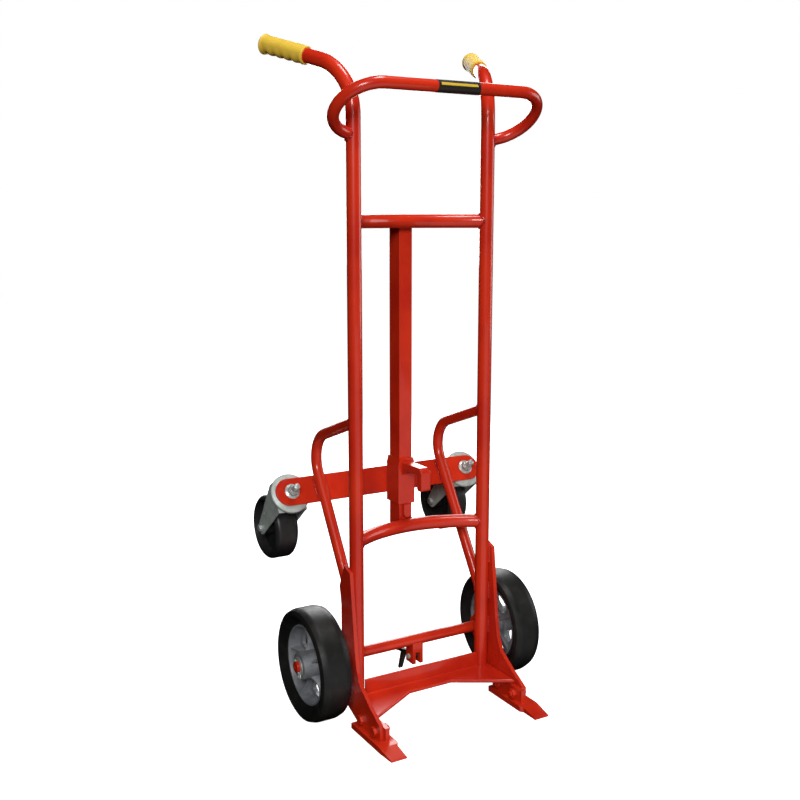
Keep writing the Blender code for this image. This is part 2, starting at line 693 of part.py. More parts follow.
def cotter_shape():
    """Split pin along Y: a straight leg through the axle that ends in an open eye."""
    eye_start = AXLE_R + COTTER_EYE_GAP
    eye_centre = (eye_start + COTTER_EYE_R, 0.0)
    leg = [Vector((0.0, -AXLE_R - COTTER_TAIL, 0.0)), Vector((0.0, eye_start, 0.0))]
    eye = arc(eye_centre, COTTER_EYE_R, math.radians(150), math.radians(-130), 10)
    path = leg + [Vector((0.0, along, across)) for along, across in eye]
    return rod(path, COTTER_R, Vector((1.0, 0.0, 0.0)), 8)


def make_hub(name, parent, side):
    """Cast wheel centre: boss, web with windows, ribs and a rim that is deeper outboard."""
    hub_bore = bore(bore(AXLE_R) + BUSH_WALL)
    web_outer = WEB_THICK / 2 - WEB_INBOARD
    web_inner = -WEB_THICK / 2 - WEB_INBOARD
    inner_rim = RIM_R - RIM_WALL
    boss_end = BOSS_R - BOSS_CHAMFER
    boss_root = BOSS_R + WEB_FILLET
    rim_root = inner_rim - WEB_FILLET
    section = [(BOSS_HALF, hub_bore), (BOSS_HALF, boss_end), (web_outer, boss_root),
               (web_outer, rim_root), (RIM_OUTBOARD, inner_rim), (RIM_OUTBOARD, RIM_R),
               (-RIM_INBOARD, RIM_R), (-RIM_INBOARD, inner_rim), (web_inner, rim_root),
               (web_inner, boss_root), (-BOSS_HALF, boss_end), (-BOSS_HALF, hub_bore)]
    profile = [(side * outboard, radius) for outboard, radius in section]
    hub = add_piece(name, turned(profile, WHEEL_SIDES, True), "cast_hub", parent, ALONG_X)
    web_low, web_high = sorted((side * (web_outer + WEB_THICK / 2), side * (web_inner - WEB_THICK / 2)))
    rib_low, rib_high = sorted((side * RIB_OUTBOARD, -side * RIB_INBOARD))
    for number in range(WINDOWS):
        middle = WINDOW_ANGLE + math.tau * number / WINDOWS
        low, high = middle - WINDOW_HALF_SPAN, middle + WINDOW_HALF_SPAN
        outline = (arc((0.0, 0.0), WINDOW_OUTER_R, low, high, 5)
                   + arc((0.0, 0.0), WINDOW_INNER_R, high, low, 3))
        cutter = add_cutter(f"{name}_window_{number}", prism(outline, web_low, web_high), parent,
                            SIDE)
        combine(hub, cutter)
        rib = box((BOSS_R - WEB_FILLET, -RIB_THICK / 2, rib_low),
                  (inner_rim + RIM_WALL / 2, RIB_THICK / 2, rib_high))
        turn = Matrix.Rotation(middle + math.pi / WINDOWS, 4, "X")
        combine(hub, add_cutter(f"{name}_rib_{number}", rib, parent, turn @ SIDE), "UNION")


def make_tyre(name, parent):
    half = TYRE_WIDTH / 2
    low = RIM_R + FIT
    depth = TYRE_R - low
    corner_in, corner_out = TYRE_CORNER
    half_section = [(TYRE_BEAD_HALF, low), *((half, low + share * depth) for share in TYRE_BULGE),
                    (half - corner_in * TYRE_SHOULDER, low + corner_out * depth),
                    (half - TYRE_SHOULDER, TYRE_R)]
    profile = half_section + [(-along, radius) for along, radius in reversed(half_section)]
    add_piece(name, turned(profile, WHEEL_SIDES, True), "tyre_rubber", parent, ALONG_X)


def make_main_wheels(truck):
    for side, word in ((-1, "left"), (1, "right")):
        centre = Matrix.Translation((side * WHEEL_X, AXLE_Y, AXLE_Z))
        wheel = add_empty(f"wheel_{word}", centre, truck)
        make_tyre(f"tyre_{word}", wheel)
        make_hub(f"hub_{word}", wheel, side)
        bush = ring_section(-BOSS_HALF, BOSS_HALF, bore(AXLE_R), bore(AXLE_R) + BUSH_WALL)
        add_piece(f"wheel_bush_{word}", turned(bush, SHAFT_SIDES, True), "bronze", wheel, ALONG_X)
        boss_end = WHEEL_X - BOSS_HALF
        rings = (
            ("wheel_spacer", PLATE_OUTER_X + FIT, boss_end - FIT, AXLE_R + SPACER_RING, "zinc"),
            ("axle_washer", WHEEL_X + BOSS_HALF + FIT, washer_outer_x(), AXLE_R + WASHER_RING, "zinc"),
        )
        for name, inner_x, outer_x, radius, finish in rings:
            low, high = sorted((side * inner_x, side * outer_x))
            section = ring_section(low, high, bore(AXLE_R), radius)
            place = Matrix.Translation((0.0, AXLE_Y, AXLE_Z)) @ ALONG_X
            add_piece(f"{name}_{word}", turned(section, SHAFT_SIDES, True), finish, truck, place)


# ---------------------------------------------------------------- caster bar and casters
def make_caster_bar(truck):
    """Flat bar with round ends across the struts' rear, bored for the kingpins."""
    radius = BAR_WIDTH / 2
    end_x = CASTER_X + BAR_END_REACH
    outline = (arc((end_x, 0.0), radius, -math.pi / 2, math.pi / 2, 12)
               + arc((-end_x, 0.0), radius, math.pi / 2, 3 * math.pi / 2, 12))
    middle = Matrix.Translation((0.0, BAR_MIDDLE.y, BAR_MIDDLE.z))
    place = middle @ Matrix.Rotation(CASTER_TURN, 4, "X")
    bar = add_piece("caster_bar", prism(outline, 0.0, BAR_THICK), "red_paint", truck, place)
    for side, word in ((-1, "left"), (1, "right")):
        drill = turned([(-DRILL_PAST, bore(KINGPIN_R)), (BAR_THICK + DRILL_PAST, bore(KINGPIN_R))],
                       SHAFT_SIDES)
        spot = place @ Matrix.Translation((side * CASTER_X, 0.0, 0.0))
        combine(bar, add_cutter(f"caster_bar_{word}_hole", drill, truck, spot))


def fork_outline():
    """Leg outline in (y, z): wide under the race, round at the wheel's axle behind it."""
    top = -RACE_HEIGHT - 2 * FIT
    shoulder = top - FORK_SHOULDER
    end = arc((-CASTER_TRAIL, -CASTER_DROP), FORK_END_R, math.radians(-32), math.radians(-178), 8)
    return ([(FORK_FRONT, top), (FORK_FRONT, shoulder)] + end
            + [(-FORK_BACK, shoulder), (-FORK_BACK, top)])


def make_fork(name, swivel):
    outer = FORK_INNER + FORK_THICK
    crown_low = -RACE_HEIGHT - 2 * FIT - FORK_CROWN
    fork = add_piece(name, prism(fork_outline(), -outer, outer), "zinc", swivel, SIDE)
    gap = box((-FORK_INNER, -FORK_BACK - DRILL_FAR, -CASTER_DROP - DRILL_FAR),
              (FORK_INNER, FORK_FRONT + DRILL_FAR, crown_low))
    combine(fork, add_cutter(f"{name}_gap", gap, swivel))
    drill = turned([(crown_low - DRILL_PAST, bore(KINGPIN_R)), (DRILL_PAST, bore(KINGPIN_R))],
                   SHAFT_SIDES)
    combine(fork, add_cutter(f"{name}_kingpin_hole", drill, swivel))
    holes = (("axle_hole", -CASTER_TRAIL, -CASTER_DROP, bore(CASTER_BOLT_R, BOLT_SIDES)),
             ("small_hole", -CASTER_TRAIL + FORK_HOLE_FORWARD, -CASTER_DROP + FORK_HOLE_RISE,
              FORK_HOLE_R))
    for word, y, z, radius in holes:
        across = turned([(-DRILL_FAR, radius), (DRILL_FAR, radius)], BOLT_SIDES)
        place = Matrix.Translation((0.0, y, z)) @ ALONG_X
        combine(fork, add_cutter(f"{name}_{word}", across, swivel, place))


def make_caster_wheel(word, wheel):
    """Solid wheel with a dished web on a plain bush, its bolt through the fork's legs."""
    half = CASTER_WHEEL_WIDTH / 2
    radius = CASTER_WHEEL_R
    web = CASTER_WEB / 2
    half_section = [(half, bore(CASTER_BUSH_R)), (half, CASTER_BOSS_R - 0.001),
                    (web, CASTER_BOSS_R), (web, radius - CASTER_TREAD),
                    (half - 0.001, radius - CASTER_TREAD + 0.002),
                    (half - 0.001, radius - CASTER_SHOULDER),
                    (half - 0.35 * CASTER_SHOULDER, radius - 0.35 * CASTER_SHOULDER),
                    (half - CASTER_SHOULDER, radius)]
    profile = half_section + [(-along, reach) for along, reach in reversed(half_section)]
    add_piece(f"caster_wheel_{word}", turned(profile, CASTER_SIDES, True), "black_polymer", wheel,
              ALONG_X)
    bush = ring_section(-FORK_INNER + FIT, FORK_INNER - FIT, bore(CASTER_BOLT_R, BOLT_SIDES),
                        CASTER_BUSH_R)
    add_piece(f"caster_bush_{word}", turned(bush, BOLT_SIDES, True), "zinc", wheel, ALONG_X)


def make_casters(truck):
    bar_front = BAR_THICK + FIT
    leg_face = FORK_INNER + FORK_THICK + FIT
    hub_r = KINGPIN_HEX + RACE_WALL
    race = [(-FIT, bore(KINGPIN_R)), (-FIT, RACE_R - RACE_CROWN),
            (-0.4 * RACE_CROWN, RACE_R - 0.1 * RACE_CROWN), (-RACE_HEIGHT + RACE_LIP, RACE_R),
            (-RACE_HEIGHT - FIT, RACE_R - RACE_LIP),
            (-RACE_HEIGHT - FIT, RACE_R - RACE_LIP - RACE_WALL),
            (-3 * RACE_WALL, RACE_R - 2 * RACE_WALL),
            (-FIT - RACE_WALL, RACE_R - RACE_CROWN - 1.6 * RACE_WALL), (-FIT - RACE_WALL, hub_r),
            (-RACE_HEIGHT - FIT, hub_r), (-RACE_HEIGHT - FIT, bore(KINGPIN_R))]
    head_top = -RACE_HEIGHT - 3 * FIT - FORK_CROWN
    kingpin = [(head_top - KINGPIN_HEAD, KINGPIN_HEX, "hex"), (head_top, KINGPIN_HEX, "hex"),
               (head_top, KINGPIN_R), (BAR_THICK + KINGPIN_REACH - STUD_EASE, KINGPIN_R),
               (BAR_THICK + KINGPIN_REACH, KINGPIN_R - STUD_EASE)]
    flange_top = bar_front + KING_FLANGE_THICK
    nut = [(bar_front, bore(KINGPIN_R)), (bar_front, KING_FLANGE_R), (flange_top, KING_FLANGE_R),
           (flange_top, KINGPIN_HEX, "hex"), (flange_top + KING_NUT_HEIGHT, KINGPIN_HEX, "hex"),
           (flange_top + KING_NUT_HEIGHT, bore(KINGPIN_R))]
    bolt = [(-leg_face - CASTER_BOLT_HEAD, CASTER_BOLT_HEX, "hex"), (-leg_face, CASTER_BOLT_HEX, "hex"),
            (-leg_face, CASTER_BOLT_R), (leg_face + CASTER_NUT_HEIGHT + CASTER_STICK_OUT, CASTER_BOLT_R)]
    axle_nut = ring_section(leg_face, leg_face + CASTER_NUT_HEIGHT, bore(CASTER_BOLT_R, BOLT_SIDES),
                            CASTER_BOLT_HEX, "hex")
    for side, word in ((-1, "left"), (1, "right")):
        spot = Matrix.Translation((side * CASTER_X, BAR_MIDDLE.y, BAR_MIDDLE.z))
        swivel = add_empty(f"swivel_{word}", spot @ Matrix.Rotation(CASTER_TURN, 4, "X"), truck)
        add_piece(f"caster_race_{word}", turned(race, CASTER_SIDES, True), "zinc", swivel)
        add_piece(f"kingpin_{word}", turned(kingpin, SHAFT_SIDES), "zinc", swivel)
        add_piece(f"kingpin_nut_{word}", turned(nut, SHAFT_SIDES, True), "zinc", swivel)
        make_fork(f"caster_fork_{word}", swivel)
        axle_spot = Matrix.Translation((0.0, -CASTER_TRAIL, -CASTER_DROP))
        wheel = add_empty(f"caster_axle_{word}",
                          axle_spot @ Matrix.Rotation(-CASTER_TURN, 4, "X"), swivel)
        add_piece(f"caster_bolt_{word}", turned(bolt, BOLT_SIDES), "zinc", wheel, ALONG_X)
        add_piece(f"caster_nut_{word}", turned(axle_nut, BOLT_SIDES, True), "zinc", wheel, ALONG_X)
        make_caster_wheel(word, wheel)


# ---------------------------------------------------------------- slider, hook and stop
def make_slider(truck):
    """Sleeve round the centre post with a chime hook that catches a drum's rim."""
    inner_x = POST_WIDTH / 2 + SLIDE_CLEARANCE
    inner_front = POST_FRONT_Y - SLIDE_CLEARANCE
    inner_back = POST_BACK_Y + SLIDE_CLEARANCE
    front = inner_front - SLIDER_WALL
    high = SLIDER_LOW_Z + SLIDER_HEIGHT
    slider = add_empty("slider", Matrix.Translation((0.0, POST_FRONT_Y, SLIDER_LOW_Z)), truck)
    back_to_datum = Matrix.Translation((0.0, -POST_FRONT_Y, -SLIDER_LOW_Z))
    x = inner_x + SLIDER_WALL
    chamfer_low = high - SLIDER_CHAMFER_HEIGHT
    outline = [(-x, SLIDER_LOW_Z), (x, SLIDER_LOW_Z), (x, chamfer_low), (x - SLIDER_CHAMFER, high),
               (SLIDER_CHAMFER - x, high), (-x, chamfer_low)]
    sleeve = add_piece("hook_slider", prism(outline, -inner_back - SLIDER_WALL, -front), "red_paint",
                       slider, back_to_datum @ FRONT)
    hole = box((-inner_x, inner_front, SLIDER_LOW_Z - DRILL_PAST),
               (inner_x, inner_back, high + DRILL_PAST))
    combine(sleeve, add_cutter("hook_slider_bore", hole, slider, back_to_datum))
    root = front - FIT
    tip = root - HOOK_REACH
    top = high - HOOK_TOP_DROP
    nose_low = top - HOOK_NOSE
    nose_back = tip + HOOK_NOSE_DEPTH
    under = top - HOOK_THICK
    hook = [(root, top), (tip + HOOK_ROUND, top), (tip + HOOK_ROUND / 4, top - HOOK_ROUND / 3),
            (tip, top - HOOK_ROUND), (tip, nose_low + HOOK_EASE), (tip + HOOK_EASE, nose_low),
            (nose_back - HOOK_EASE, nose_low), (nose_back, nose_low + HOOK_EASE),
            (nose_back, under - HOOK_ROUND / 2), (nose_back + HOOK_ROUND / 2, under),
            (root - HOOK_ROOT, under), (root, under - HOOK_ROOT)]
    add_piece("chime_hook", prism(hook, -HOOK_WIDTH / 2, HOOK_WIDTH / 2), "red_paint", slider,
              back_to_datum @ SIDE)


def make_hook_stop(truck):
    """Round-ended pad on the post's front that holds the slider up at its lowest place."""
    high = SLIDER_LOW_Z - FIT
    low = high - STOP_HEIGHT
    rounding = STOP_HALF_WIDTH
    lower_edge = arc((0.0, low + rounding), rounding, math.pi, math.tau, 8)
    outline = lower_edge + [(STOP_HALF_WIDTH, high), (-STOP_HALF_WIDTH, high)]
    back = POST_FRONT_Y - FIT
    add_piece("hook_stop", prism(outline, -back, STOP_DEPTH - back), "red_paint", truck, FRONT)


# ---------------------------------------------------------------- foot pedal
def make_pedal(truck):
    """Lever on a pin in a forked bracket that hangs from the axle."""
    pivot_y = AXLE_Y + PEDAL_PIVOT_BACK
    pivot_z = AXLE_Z - PEDAL_PIVOT_DROP
    hinge = add_empty("pedal_hinge", Matrix.Translation((PEDAL_X, pivot_y, pivot_z)), truck)
    eye = arc((0.0, 0.0), PEDAL_EYE_R, math.radians(80), math.radians(250), 8)
    under = PEDAL_ARM / 2
    root_y, root_z = 0.5 * PEDAL_REACH, -0.5 * PEDAL_FALL
    leg = PEDAL_LEG_THICK
    foot_y = root_y + PEDAL_LEG_RAKE
    lever = eye + [
        (PEDAL_EYE_R + 0.002, -PEDAL_EYE_R), (root_y - leg, root_z - under),
        (foot_y - leg, root_z - PEDAL_LEG), (foot_y, root_z - PEDAL_LEG),
        (root_y + leg, root_z - under), (PEDAL_REACH - under, -PEDAL_FALL - under),
        (PEDAL_REACH, -PEDAL_FALL), (PEDAL_REACH - under, -PEDAL_FALL + under),
        (root_y, root_z + under),
    ]
    pedal = add_piece("foot_pedal", prism(lever, -PEDAL_WIDTH / 2, PEDAL_WIDTH / 2), "black_steel",
                      hinge, SIDE)
    pin_hole = bore(PEDAL_PIN_R, BOLT_SIDES)
    drill = turned([(-DRILL_FAR, pin_hole), (DRILL_FAR, pin_hole)], BOLT_SIDES)
    pin_cutter = add_cutter("pedal_pin_hole", drill, hinge, ALONG_X)
    combine(pedal, pin_cutter)

    half = BRACKET_WIDTH / 2
    low = AXLE_Z - BRACKET_LOW
    block = box((PEDAL_X - half, AXLE_Y - BRACKET_HALF_DEPTH, low),
                (PEDAL_X + half, AXLE_Y + BRACKET_HALF_DEPTH + PEDAL_PIVOT_BACK, AXLE_Z - BRACKET_TOP_DROP))
    bracket = add_piece("pedal_bracket", block, "red_paint", truck)
    cheek = PEDAL_WIDTH / 2 + PEDAL_SIDE_GAP
    slot = box((PEDAL_X - cheek, AXLE_Y - DRILL_FAR, low - DRILL_PAST),
               (PEDAL_X + cheek, AXLE_Y + DRILL_FAR, pivot_z + PEDAL_EYE_R + BRACKET_SLOT_GAP))
    combine(bracket, add_cutter("pedal_slot", slot, truck))
    seat = turned([(PEDAL_X - DRILL_FAR, bore(AXLE_R)), (PEDAL_X + DRILL_FAR, bore(AXLE_R))],
                  SHAFT_SIDES)
    combine(bracket, add_cutter("pedal_axle_seat", seat, truck,
                                Matrix.Translation((0.0, AXLE_Y, AXLE_Z)) @ ALONG_X))
    combine(bracket, pin_cutter)
    head_thick, head_rim = PEDAL_PIN_HEAD
    pin = [(-half - FIT - head_thick, PEDAL_PIN_R + head_rim), (-half - FIT, PEDAL_PIN_R + head_rim),
           (-half - FIT, PEDAL_PIN_R), (half + BOLT_STICK_OUT, PEDAL_PIN_R)]
    add_piece("pedal_pin", turned(pin, BOLT_SIDES), "zinc", truck,
              Matrix.Translation((PEDAL_X, pivot_y, pivot_z)) @ ALONG_X)


def main():
    clear_scene()
    truck = add_empty("truck", Matrix.Translation((0.0, -FOOTPRINT_MIDDLE_Y, 0.0)))
    rail_cutters = make_rails(truck)
    make_grips(truck)
    make_loop_handle(truck, rail_cutters)
    make_cross_tubes(truck, rail_cutters)
    make_centre_post(truck)
    make_struts(truck, rail_cutters)
    make_side_plates(truck)
    make_cross_plate(truck)
    make_toes(truck)
    make_toe_bolts(truck)
    make_axle(truck)
    make_main_wheels(truck)
    make_caster_bar(truck)
    make_casters(truck)
    make_slider(truck)
    make_hook_stop(truck)
    make_pedal(truck)


main()
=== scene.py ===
"""Looks of a red drum hand truck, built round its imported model.

Smooth tubes, turned pieces and welds are surfaces worked out with numpy.  Plates are softened
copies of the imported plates.  Everything is in metres: +X is the right-hand side seen from the
load, -Y points to the load and +Z is up.
"""
import enum
import json
import logging
import math
from dataclasses import dataclass
from typing import Sequence

import bmesh
import bpy
import numpy as np
from mathutils import Matrix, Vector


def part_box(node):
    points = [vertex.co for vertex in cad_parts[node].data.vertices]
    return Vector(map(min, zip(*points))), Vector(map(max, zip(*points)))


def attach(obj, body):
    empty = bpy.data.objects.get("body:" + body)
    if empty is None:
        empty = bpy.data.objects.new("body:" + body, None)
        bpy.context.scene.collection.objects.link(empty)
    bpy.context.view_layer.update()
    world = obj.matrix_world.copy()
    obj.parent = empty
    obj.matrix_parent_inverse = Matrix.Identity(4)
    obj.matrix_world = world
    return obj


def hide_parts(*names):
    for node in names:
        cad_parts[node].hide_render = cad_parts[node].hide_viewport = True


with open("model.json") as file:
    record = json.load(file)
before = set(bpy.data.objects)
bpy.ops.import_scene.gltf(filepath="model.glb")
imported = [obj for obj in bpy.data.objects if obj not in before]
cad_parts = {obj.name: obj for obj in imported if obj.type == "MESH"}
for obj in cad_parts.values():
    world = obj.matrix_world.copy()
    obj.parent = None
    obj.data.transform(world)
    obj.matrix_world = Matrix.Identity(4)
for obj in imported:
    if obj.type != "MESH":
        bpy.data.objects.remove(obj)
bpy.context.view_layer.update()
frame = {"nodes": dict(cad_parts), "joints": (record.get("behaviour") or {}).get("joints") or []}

LOG = logging.getLogger("hand_truck")
SIDES = (("left", -1.0), ("right", 1.0))
X_AXIS = np.array([1.0, 0.0, 0.0])
Y_AXIS = np.array([0.0, 1.0, 0.0])
Z_AXIS = np.array([0.0, 0.0, 1.0])
TAU = 2.0 * math.pi
SHARP = 34.0        # degrees that an edge turns by before it stays sharp
FIT = 0.0003        # gap between pieces that touch
BORE_EASE = 0.0004  # how much wider a bore is than what turns in it
RAIL_R = 0.0159
BAR_THICK = 0.005
Triple = tuple[float, float, float]
Pair = tuple[float, float]


# ---------------------------------------------------------------- small sums
def unit(vector: np.ndarray) -> np.ndarray:
    """Each vector over its own length."""
    vector = np.asarray(vector, float)
    return vector / np.linalg.norm(vector, axis=-1, keepdims=True)


def centre_of(node: str) -> np.ndarray:
    """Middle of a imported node's box."""
    low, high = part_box(node)
    return (np.array(low) + np.array(high)) / 2.0


def rounded_corners(corners: np.ndarray, radii: Sequence[float], steps: int = 8,
                    closed: bool = False) -> np.ndarray:
    """Line through corners, each rounded to its own radius.

    At a corner the tangent length is radius over the tangent of half the angle there, and the arc
    turns from one foot to the other about a centre on the bisector.

    Args:
        corners: Points (count, 2 or 3).
        radii: One radius a corner; nought keeps it sharp.
        steps: Points on each arc, less one.
        closed: Whether the last corner joins the first.

    Returns:
        The points of the rounded line, in order.
    """
    corners = np.asarray(corners, float)
    count = len(corners)
    pieces = []
    share = np.linspace(0.0, 1.0, steps + 1)[:, None]
    for number in range(count):
        corner, radius = corners[number], radii[number]
        if radius <= 0.0 or (not closed and number in (0, count - 1)):
            pieces.append(corner[None])
            continue
        back = unit(corners[number - 1] - corner)
        ahead = unit(corners[(number + 1) % count] - corner)
        half = math.acos(float(np.clip(back @ ahead, -1.0, 1.0))) / 2.0
        middle = corner + unit(back + ahead) * radius / math.sin(half)
        first = corner + back * radius / math.tan(half) - middle
        last = corner + ahead * radius / math.tan(half) - middle
        turn = math.pi - 2.0 * half
        spokes = first * np.sin((1.0 - share) * turn) + last * np.sin(share * turn)
        pieces.append(middle + spokes / math.sin(turn))
    line = np.concatenate(pieces)
    keep = np.append(True, np.linalg.norm(np.diff(line, axis=0), axis=1) > 1e-6)
    return line[keep]


def rail_axis(word: str) -> float:
    """Y of a rail's centre line, from the rail's own front face."""
    return float(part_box(f"rail_{word}")[0].y) + RAIL_R


def leaning(angle: float) -> np.ndarray:
    """Direction downwards and to the load, at an angle from the vertical."""
    return np.array([0.0, -math.sin(angle), -math.cos(angle)])


def rippled(run: np.ndarray, radius: float, *waves: Pair, thinned: bool = True) -> np.ndarray:
    """Radius of a hand-laid bead at each place along a straight run of weld.

    It is the bead's radius times one plus a sine for each wave.  A thinned bead falls to a
    quarter of that over the last few millimetres at both ends.

    Args:
        run: Places along the run, with nought at its middle.
        radius: The bead's own radius.
        waves: Height and rate of each sine.
        thinned: Whether the ends thin out.

    Returns:
        The radii, one for each place.
    """
    size = radius * (1.0 + sum(height * np.sin(run * rate) for height, rate in waves))
    if thinned:
        size = size * np.clip((run[-1] + 0.002 - np.abs(run)) / 0.004, 0.25, 1.0)
    return size


def basis_of(direction: np.ndarray) -> np.ndarray:
    """Three unit rows: across, up and along, with up as near to the vertical as it can be.

    Args:
        direction: The way that the last row points.

    Returns:
        The rows (3, 3).
    """
    along = unit(direction)
    across = np.cross(Z_AXIS, along)
    if np.linalg.norm(across) < 1e-6:
        across = np.cross(Y_AXIS, along)
    across = unit(across)
    return np.stack([across, np.cross(along, across), along])


def hexagon(angle: np.ndarray) -> np.ndarray:
    """Radius of a hexagon over half its width across flats: one over the cosine from each flat."""
    return 1.0 / np.cos(np.mod(angle, math.pi / 3.0) - math.pi / 6.0)


# ---------------------------------------------------------------- meshes
class Shell:
    """Grids of points that together make the closed bodies of one piece."""

    def __init__(self) -> None:
        """Starts with no points and no faces."""
        self.points: list[np.ndarray] = []
        self.faces: list[list[int]] = []
        self.count = 0

    def add_grid(self, rings: np.ndarray, loop: bool = False) -> "Shell":
        """Adds rings of points, each closed on itself, joined to the next by four-sided faces.

        Args:
            rings: Points (ring, place on the ring, 3).
            loop: Whether the last ring joins the first; without it both ends are capped.

        Returns:
            The shell itself.
        """
        rings = np.asarray(rings, float)
        index = self.count + np.arange(rings.shape[0] * rings.shape[1]).reshape(rings.shape[:2])
        beside = np.roll(index, -1, axis=1)
        if loop:
            quads = (index, beside, np.roll(beside, -1, axis=0), np.roll(index, -1, axis=0))
        else:
            quads = (index[:-1], beside[:-1], beside[1:], index[1:])
            self.faces += [index[0].tolist(), index[-1].tolist()]
        self.faces += np.stack(quads, axis=-1).reshape(-1, 4).tolist()
        self.points.append(rings.reshape(-1, 3))
        self.count += index.size
        return self

    def carry(self, path: np.ndarray, radius: np.ndarray | float, normal: np.ndarray,
              sides: int = 40, loop: bool = False) -> "Shell":
        """Adds a circle carried along a path that lies in a plane.

        A point is the path's point plus radius times (cosine of the angle times the sideways
        vector plus sine of the angle times the plane's normal), where sideways is the tangent
        crossed with the normal.

        Args:
            path: Points (count, 3) of the centre line.
            radius: One radius, or one for each point.
            normal: The plane's normal, or one for each point.
            sides: Points round the circle.
            loop: Whether the path closes on itself.

        Returns:
            The shell itself.
        """
        path = np.asarray(path, float)
        if loop:
            tangent = unit(np.roll(path, -1, axis=0) - np.roll(path, 1, axis=0))
        else:
            tangent = unit(np.gradient(path, axis=0))
            tangent[0], tangent[-1] = unit(path[1] - path[0]), unit(path[-1] - path[-2])
        normal = np.broadcast_to(np.asarray(normal, float), path.shape)
        sideways = unit(np.cross(tangent, normal))
        upward = np.cross(sideways, tangent)
        angle = np.linspace(0.0, TAU, sides, endpoint=False)[None, :, None]
        reach = np.broadcast_to(np.asarray(radius, float), (len(path),))[:, None, None]
        spokes = np.cos(angle) * sideways[:, None] + np.sin(angle) * upward[:, None]
        return self.add_grid(path[:, None] + reach * spokes, loop)

    def turn(self, profile: np.ndarray, centre: np.ndarray, direction: np.ndarray, sides: int = 64,
             loop: bool = False, shape: np.ndarray | None = None) -> "Shell":
        """Adds a profile of (along, radius) points turned about an axis.

        A point is the centre plus along times the axis plus radius times (cosine of the angle
        times across plus sine times up).  A shape scales the radius at each profile point and
        angle.

        Args:
            profile: Pairs (count, 2) of the distance along the axis and the radius.
            centre: Where on the axis the distance along is nought.
            direction: The way that the axis points.
            sides: Points round the axis.
            loop: Whether the profile closes on itself.
            shape: Factors (count, sides) on the radius.

        Returns:
            The shell itself.
        """
        profile = np.asarray(profile, float)
        across, upward, along = basis_of(direction)
        angle = np.linspace(0.0, TAU, sides, endpoint=False)
        radius = np.broadcast_to(profile[:, 1:2], (len(profile), sides))
        if shape is not None:
            radius = radius * shape
        spokes = np.cos(angle)[:, None] * across + np.sin(angle)[:, None] * upward
        grid = centre + profile[:, 0, None, None] * along + radius[:, :, None] * spokes
        return self.add_grid(grid, loop)

    def add_hexagon(self, low: float, high: float, half_flats: float, centre: np.ndarray,
                    direction: np.ndarray, hole: float = 0.0) -> "Shell":
        """Adds a hexagonal nut or head whose corners are taken off by a cone at both ends.

        The radius is the lesser of the hexagon's and the cone's, which is half the width across
        flats at each face and grows inwards at thirty degrees from the face.

        Args:
            low: Distance along the axis of one face.
            high: Distance along the axis of the other.
            half_flats: Half the width across flats.
            centre: Where on the axis the distance along is nought.
            direction: The way that the axis points.
            hole: Radius of the bore; nought leaves it solid.

        Returns:
            The shell itself.
        """
        sides = 72
        angle = np.linspace(0.0, TAU, sides, endpoint=False)
        corner = half_flats * (2.0 / math.sqrt(3.0) - 1.0)
        slope = math.tan(math.radians(30.0))
        depth = corner * slope
        levels = np.array([low, low + depth / 2, low + depth, high - depth, high - depth / 2, high])
        inside = np.minimum(levels - low, high - levels)
        cone = half_flats * 1.01 + np.minimum(inside / slope, corner * 1.1)
        reach = np.minimum(half_flats * hexagon(angle)[None], cone[:, None])
        profile = np.stack([levels, np.ones(len(levels))], axis=1)
        if hole > 0.0:
            profile = np.concatenate([[[low, 1.0]], profile, [[high, 1.0]]])
            bore = np.full((1, sides), hole)
            reach = np.concatenate([bore, reach, bore])
        return self.turn(profile, centre, direction, sides, hole > 0.0, reach)

    def build(self, name: str, sharp: float = SHARP) -> bpy.types.Object:
        """Makes the mesh object, with its doubles merged and its faces pointing out.

        Args:
            name: The piece's name.
            sharp: Edges that turn more than this many degrees stay sharp.

        Returns:
            The linked object, at the origin.
        """
        mesh = bpy.data.meshes.new(name)
        mesh.from_pydata(np.concatenate(self.points).tolist(), [], self.faces)
        work = bmesh.new()
        work.from_mesh(mesh)
        bmesh.ops.remove_doubles(work, verts=work.verts, dist=2e-6)
        bmesh.ops.recalc_face_normals(work, faces=work.faces)
        work.to_mesh(mesh)
        work.free()
        return link_mesh(name, mesh, sharp)


def link_mesh(name: str, mesh: bpy.types.Mesh, sharp: float) -> bpy.types.Object:
    """Shades a mesh smooth but for its sharp edges, and links it as an object at the origin.

    Args:
        name: The object's name.
        mesh: Its mesh.
        sharp: Edges that turn more than this many degrees stay sharp.

    Returns:
        The linked object.
    """
    mesh.shade_smooth()
    mesh.set_sharp_from_angle(angle=math.radians(sharp))
    piece = bpy.data.objects.new(name, mesh)
    bpy.context.scene.collection.objects.link(piece)
    return piece


def softened(node: str, width: float) -> bpy.types.Object:
    """Copy of a packed plate with its loose triangles merged and its edges rounded.

    Args:
        node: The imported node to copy.
        width: Radius of the rounded edges.

    Returns:
        The new piece, with a Bevel and a Weighted Normal on it.
    """
    mesh = frame["nodes"][node].data.copy()
    work = bmesh.new()
    work.from_mesh(mesh)
    bmesh.ops.remove_doubles(work, verts=work.verts, dist=1e-5)
    bmesh.ops.dissolve_limit(work, angle_limit=math.radians(0.6), verts=work.verts,
                             edges=work.edges)
    work.to_mesh(mesh)
    work.free()
    mesh.materials.clear()
    piece = link_mesh(f"{node}_finished", mesh, SHARP)
    bevel = piece.modifiers.new("rounded_edges", "BEVEL")
    bevel.width = width
    bevel.segments = 3
    bevel.limit_method = "ANGLE"
    bevel.angle_limit = math.radians(SHARP)
    bevel.miter_outer = "MITER_ARC"
    weighted = piece.modifiers.new("flat_faces", "WEIGHTED_NORMAL")
    weighted.keep_sharp = True
    return piece


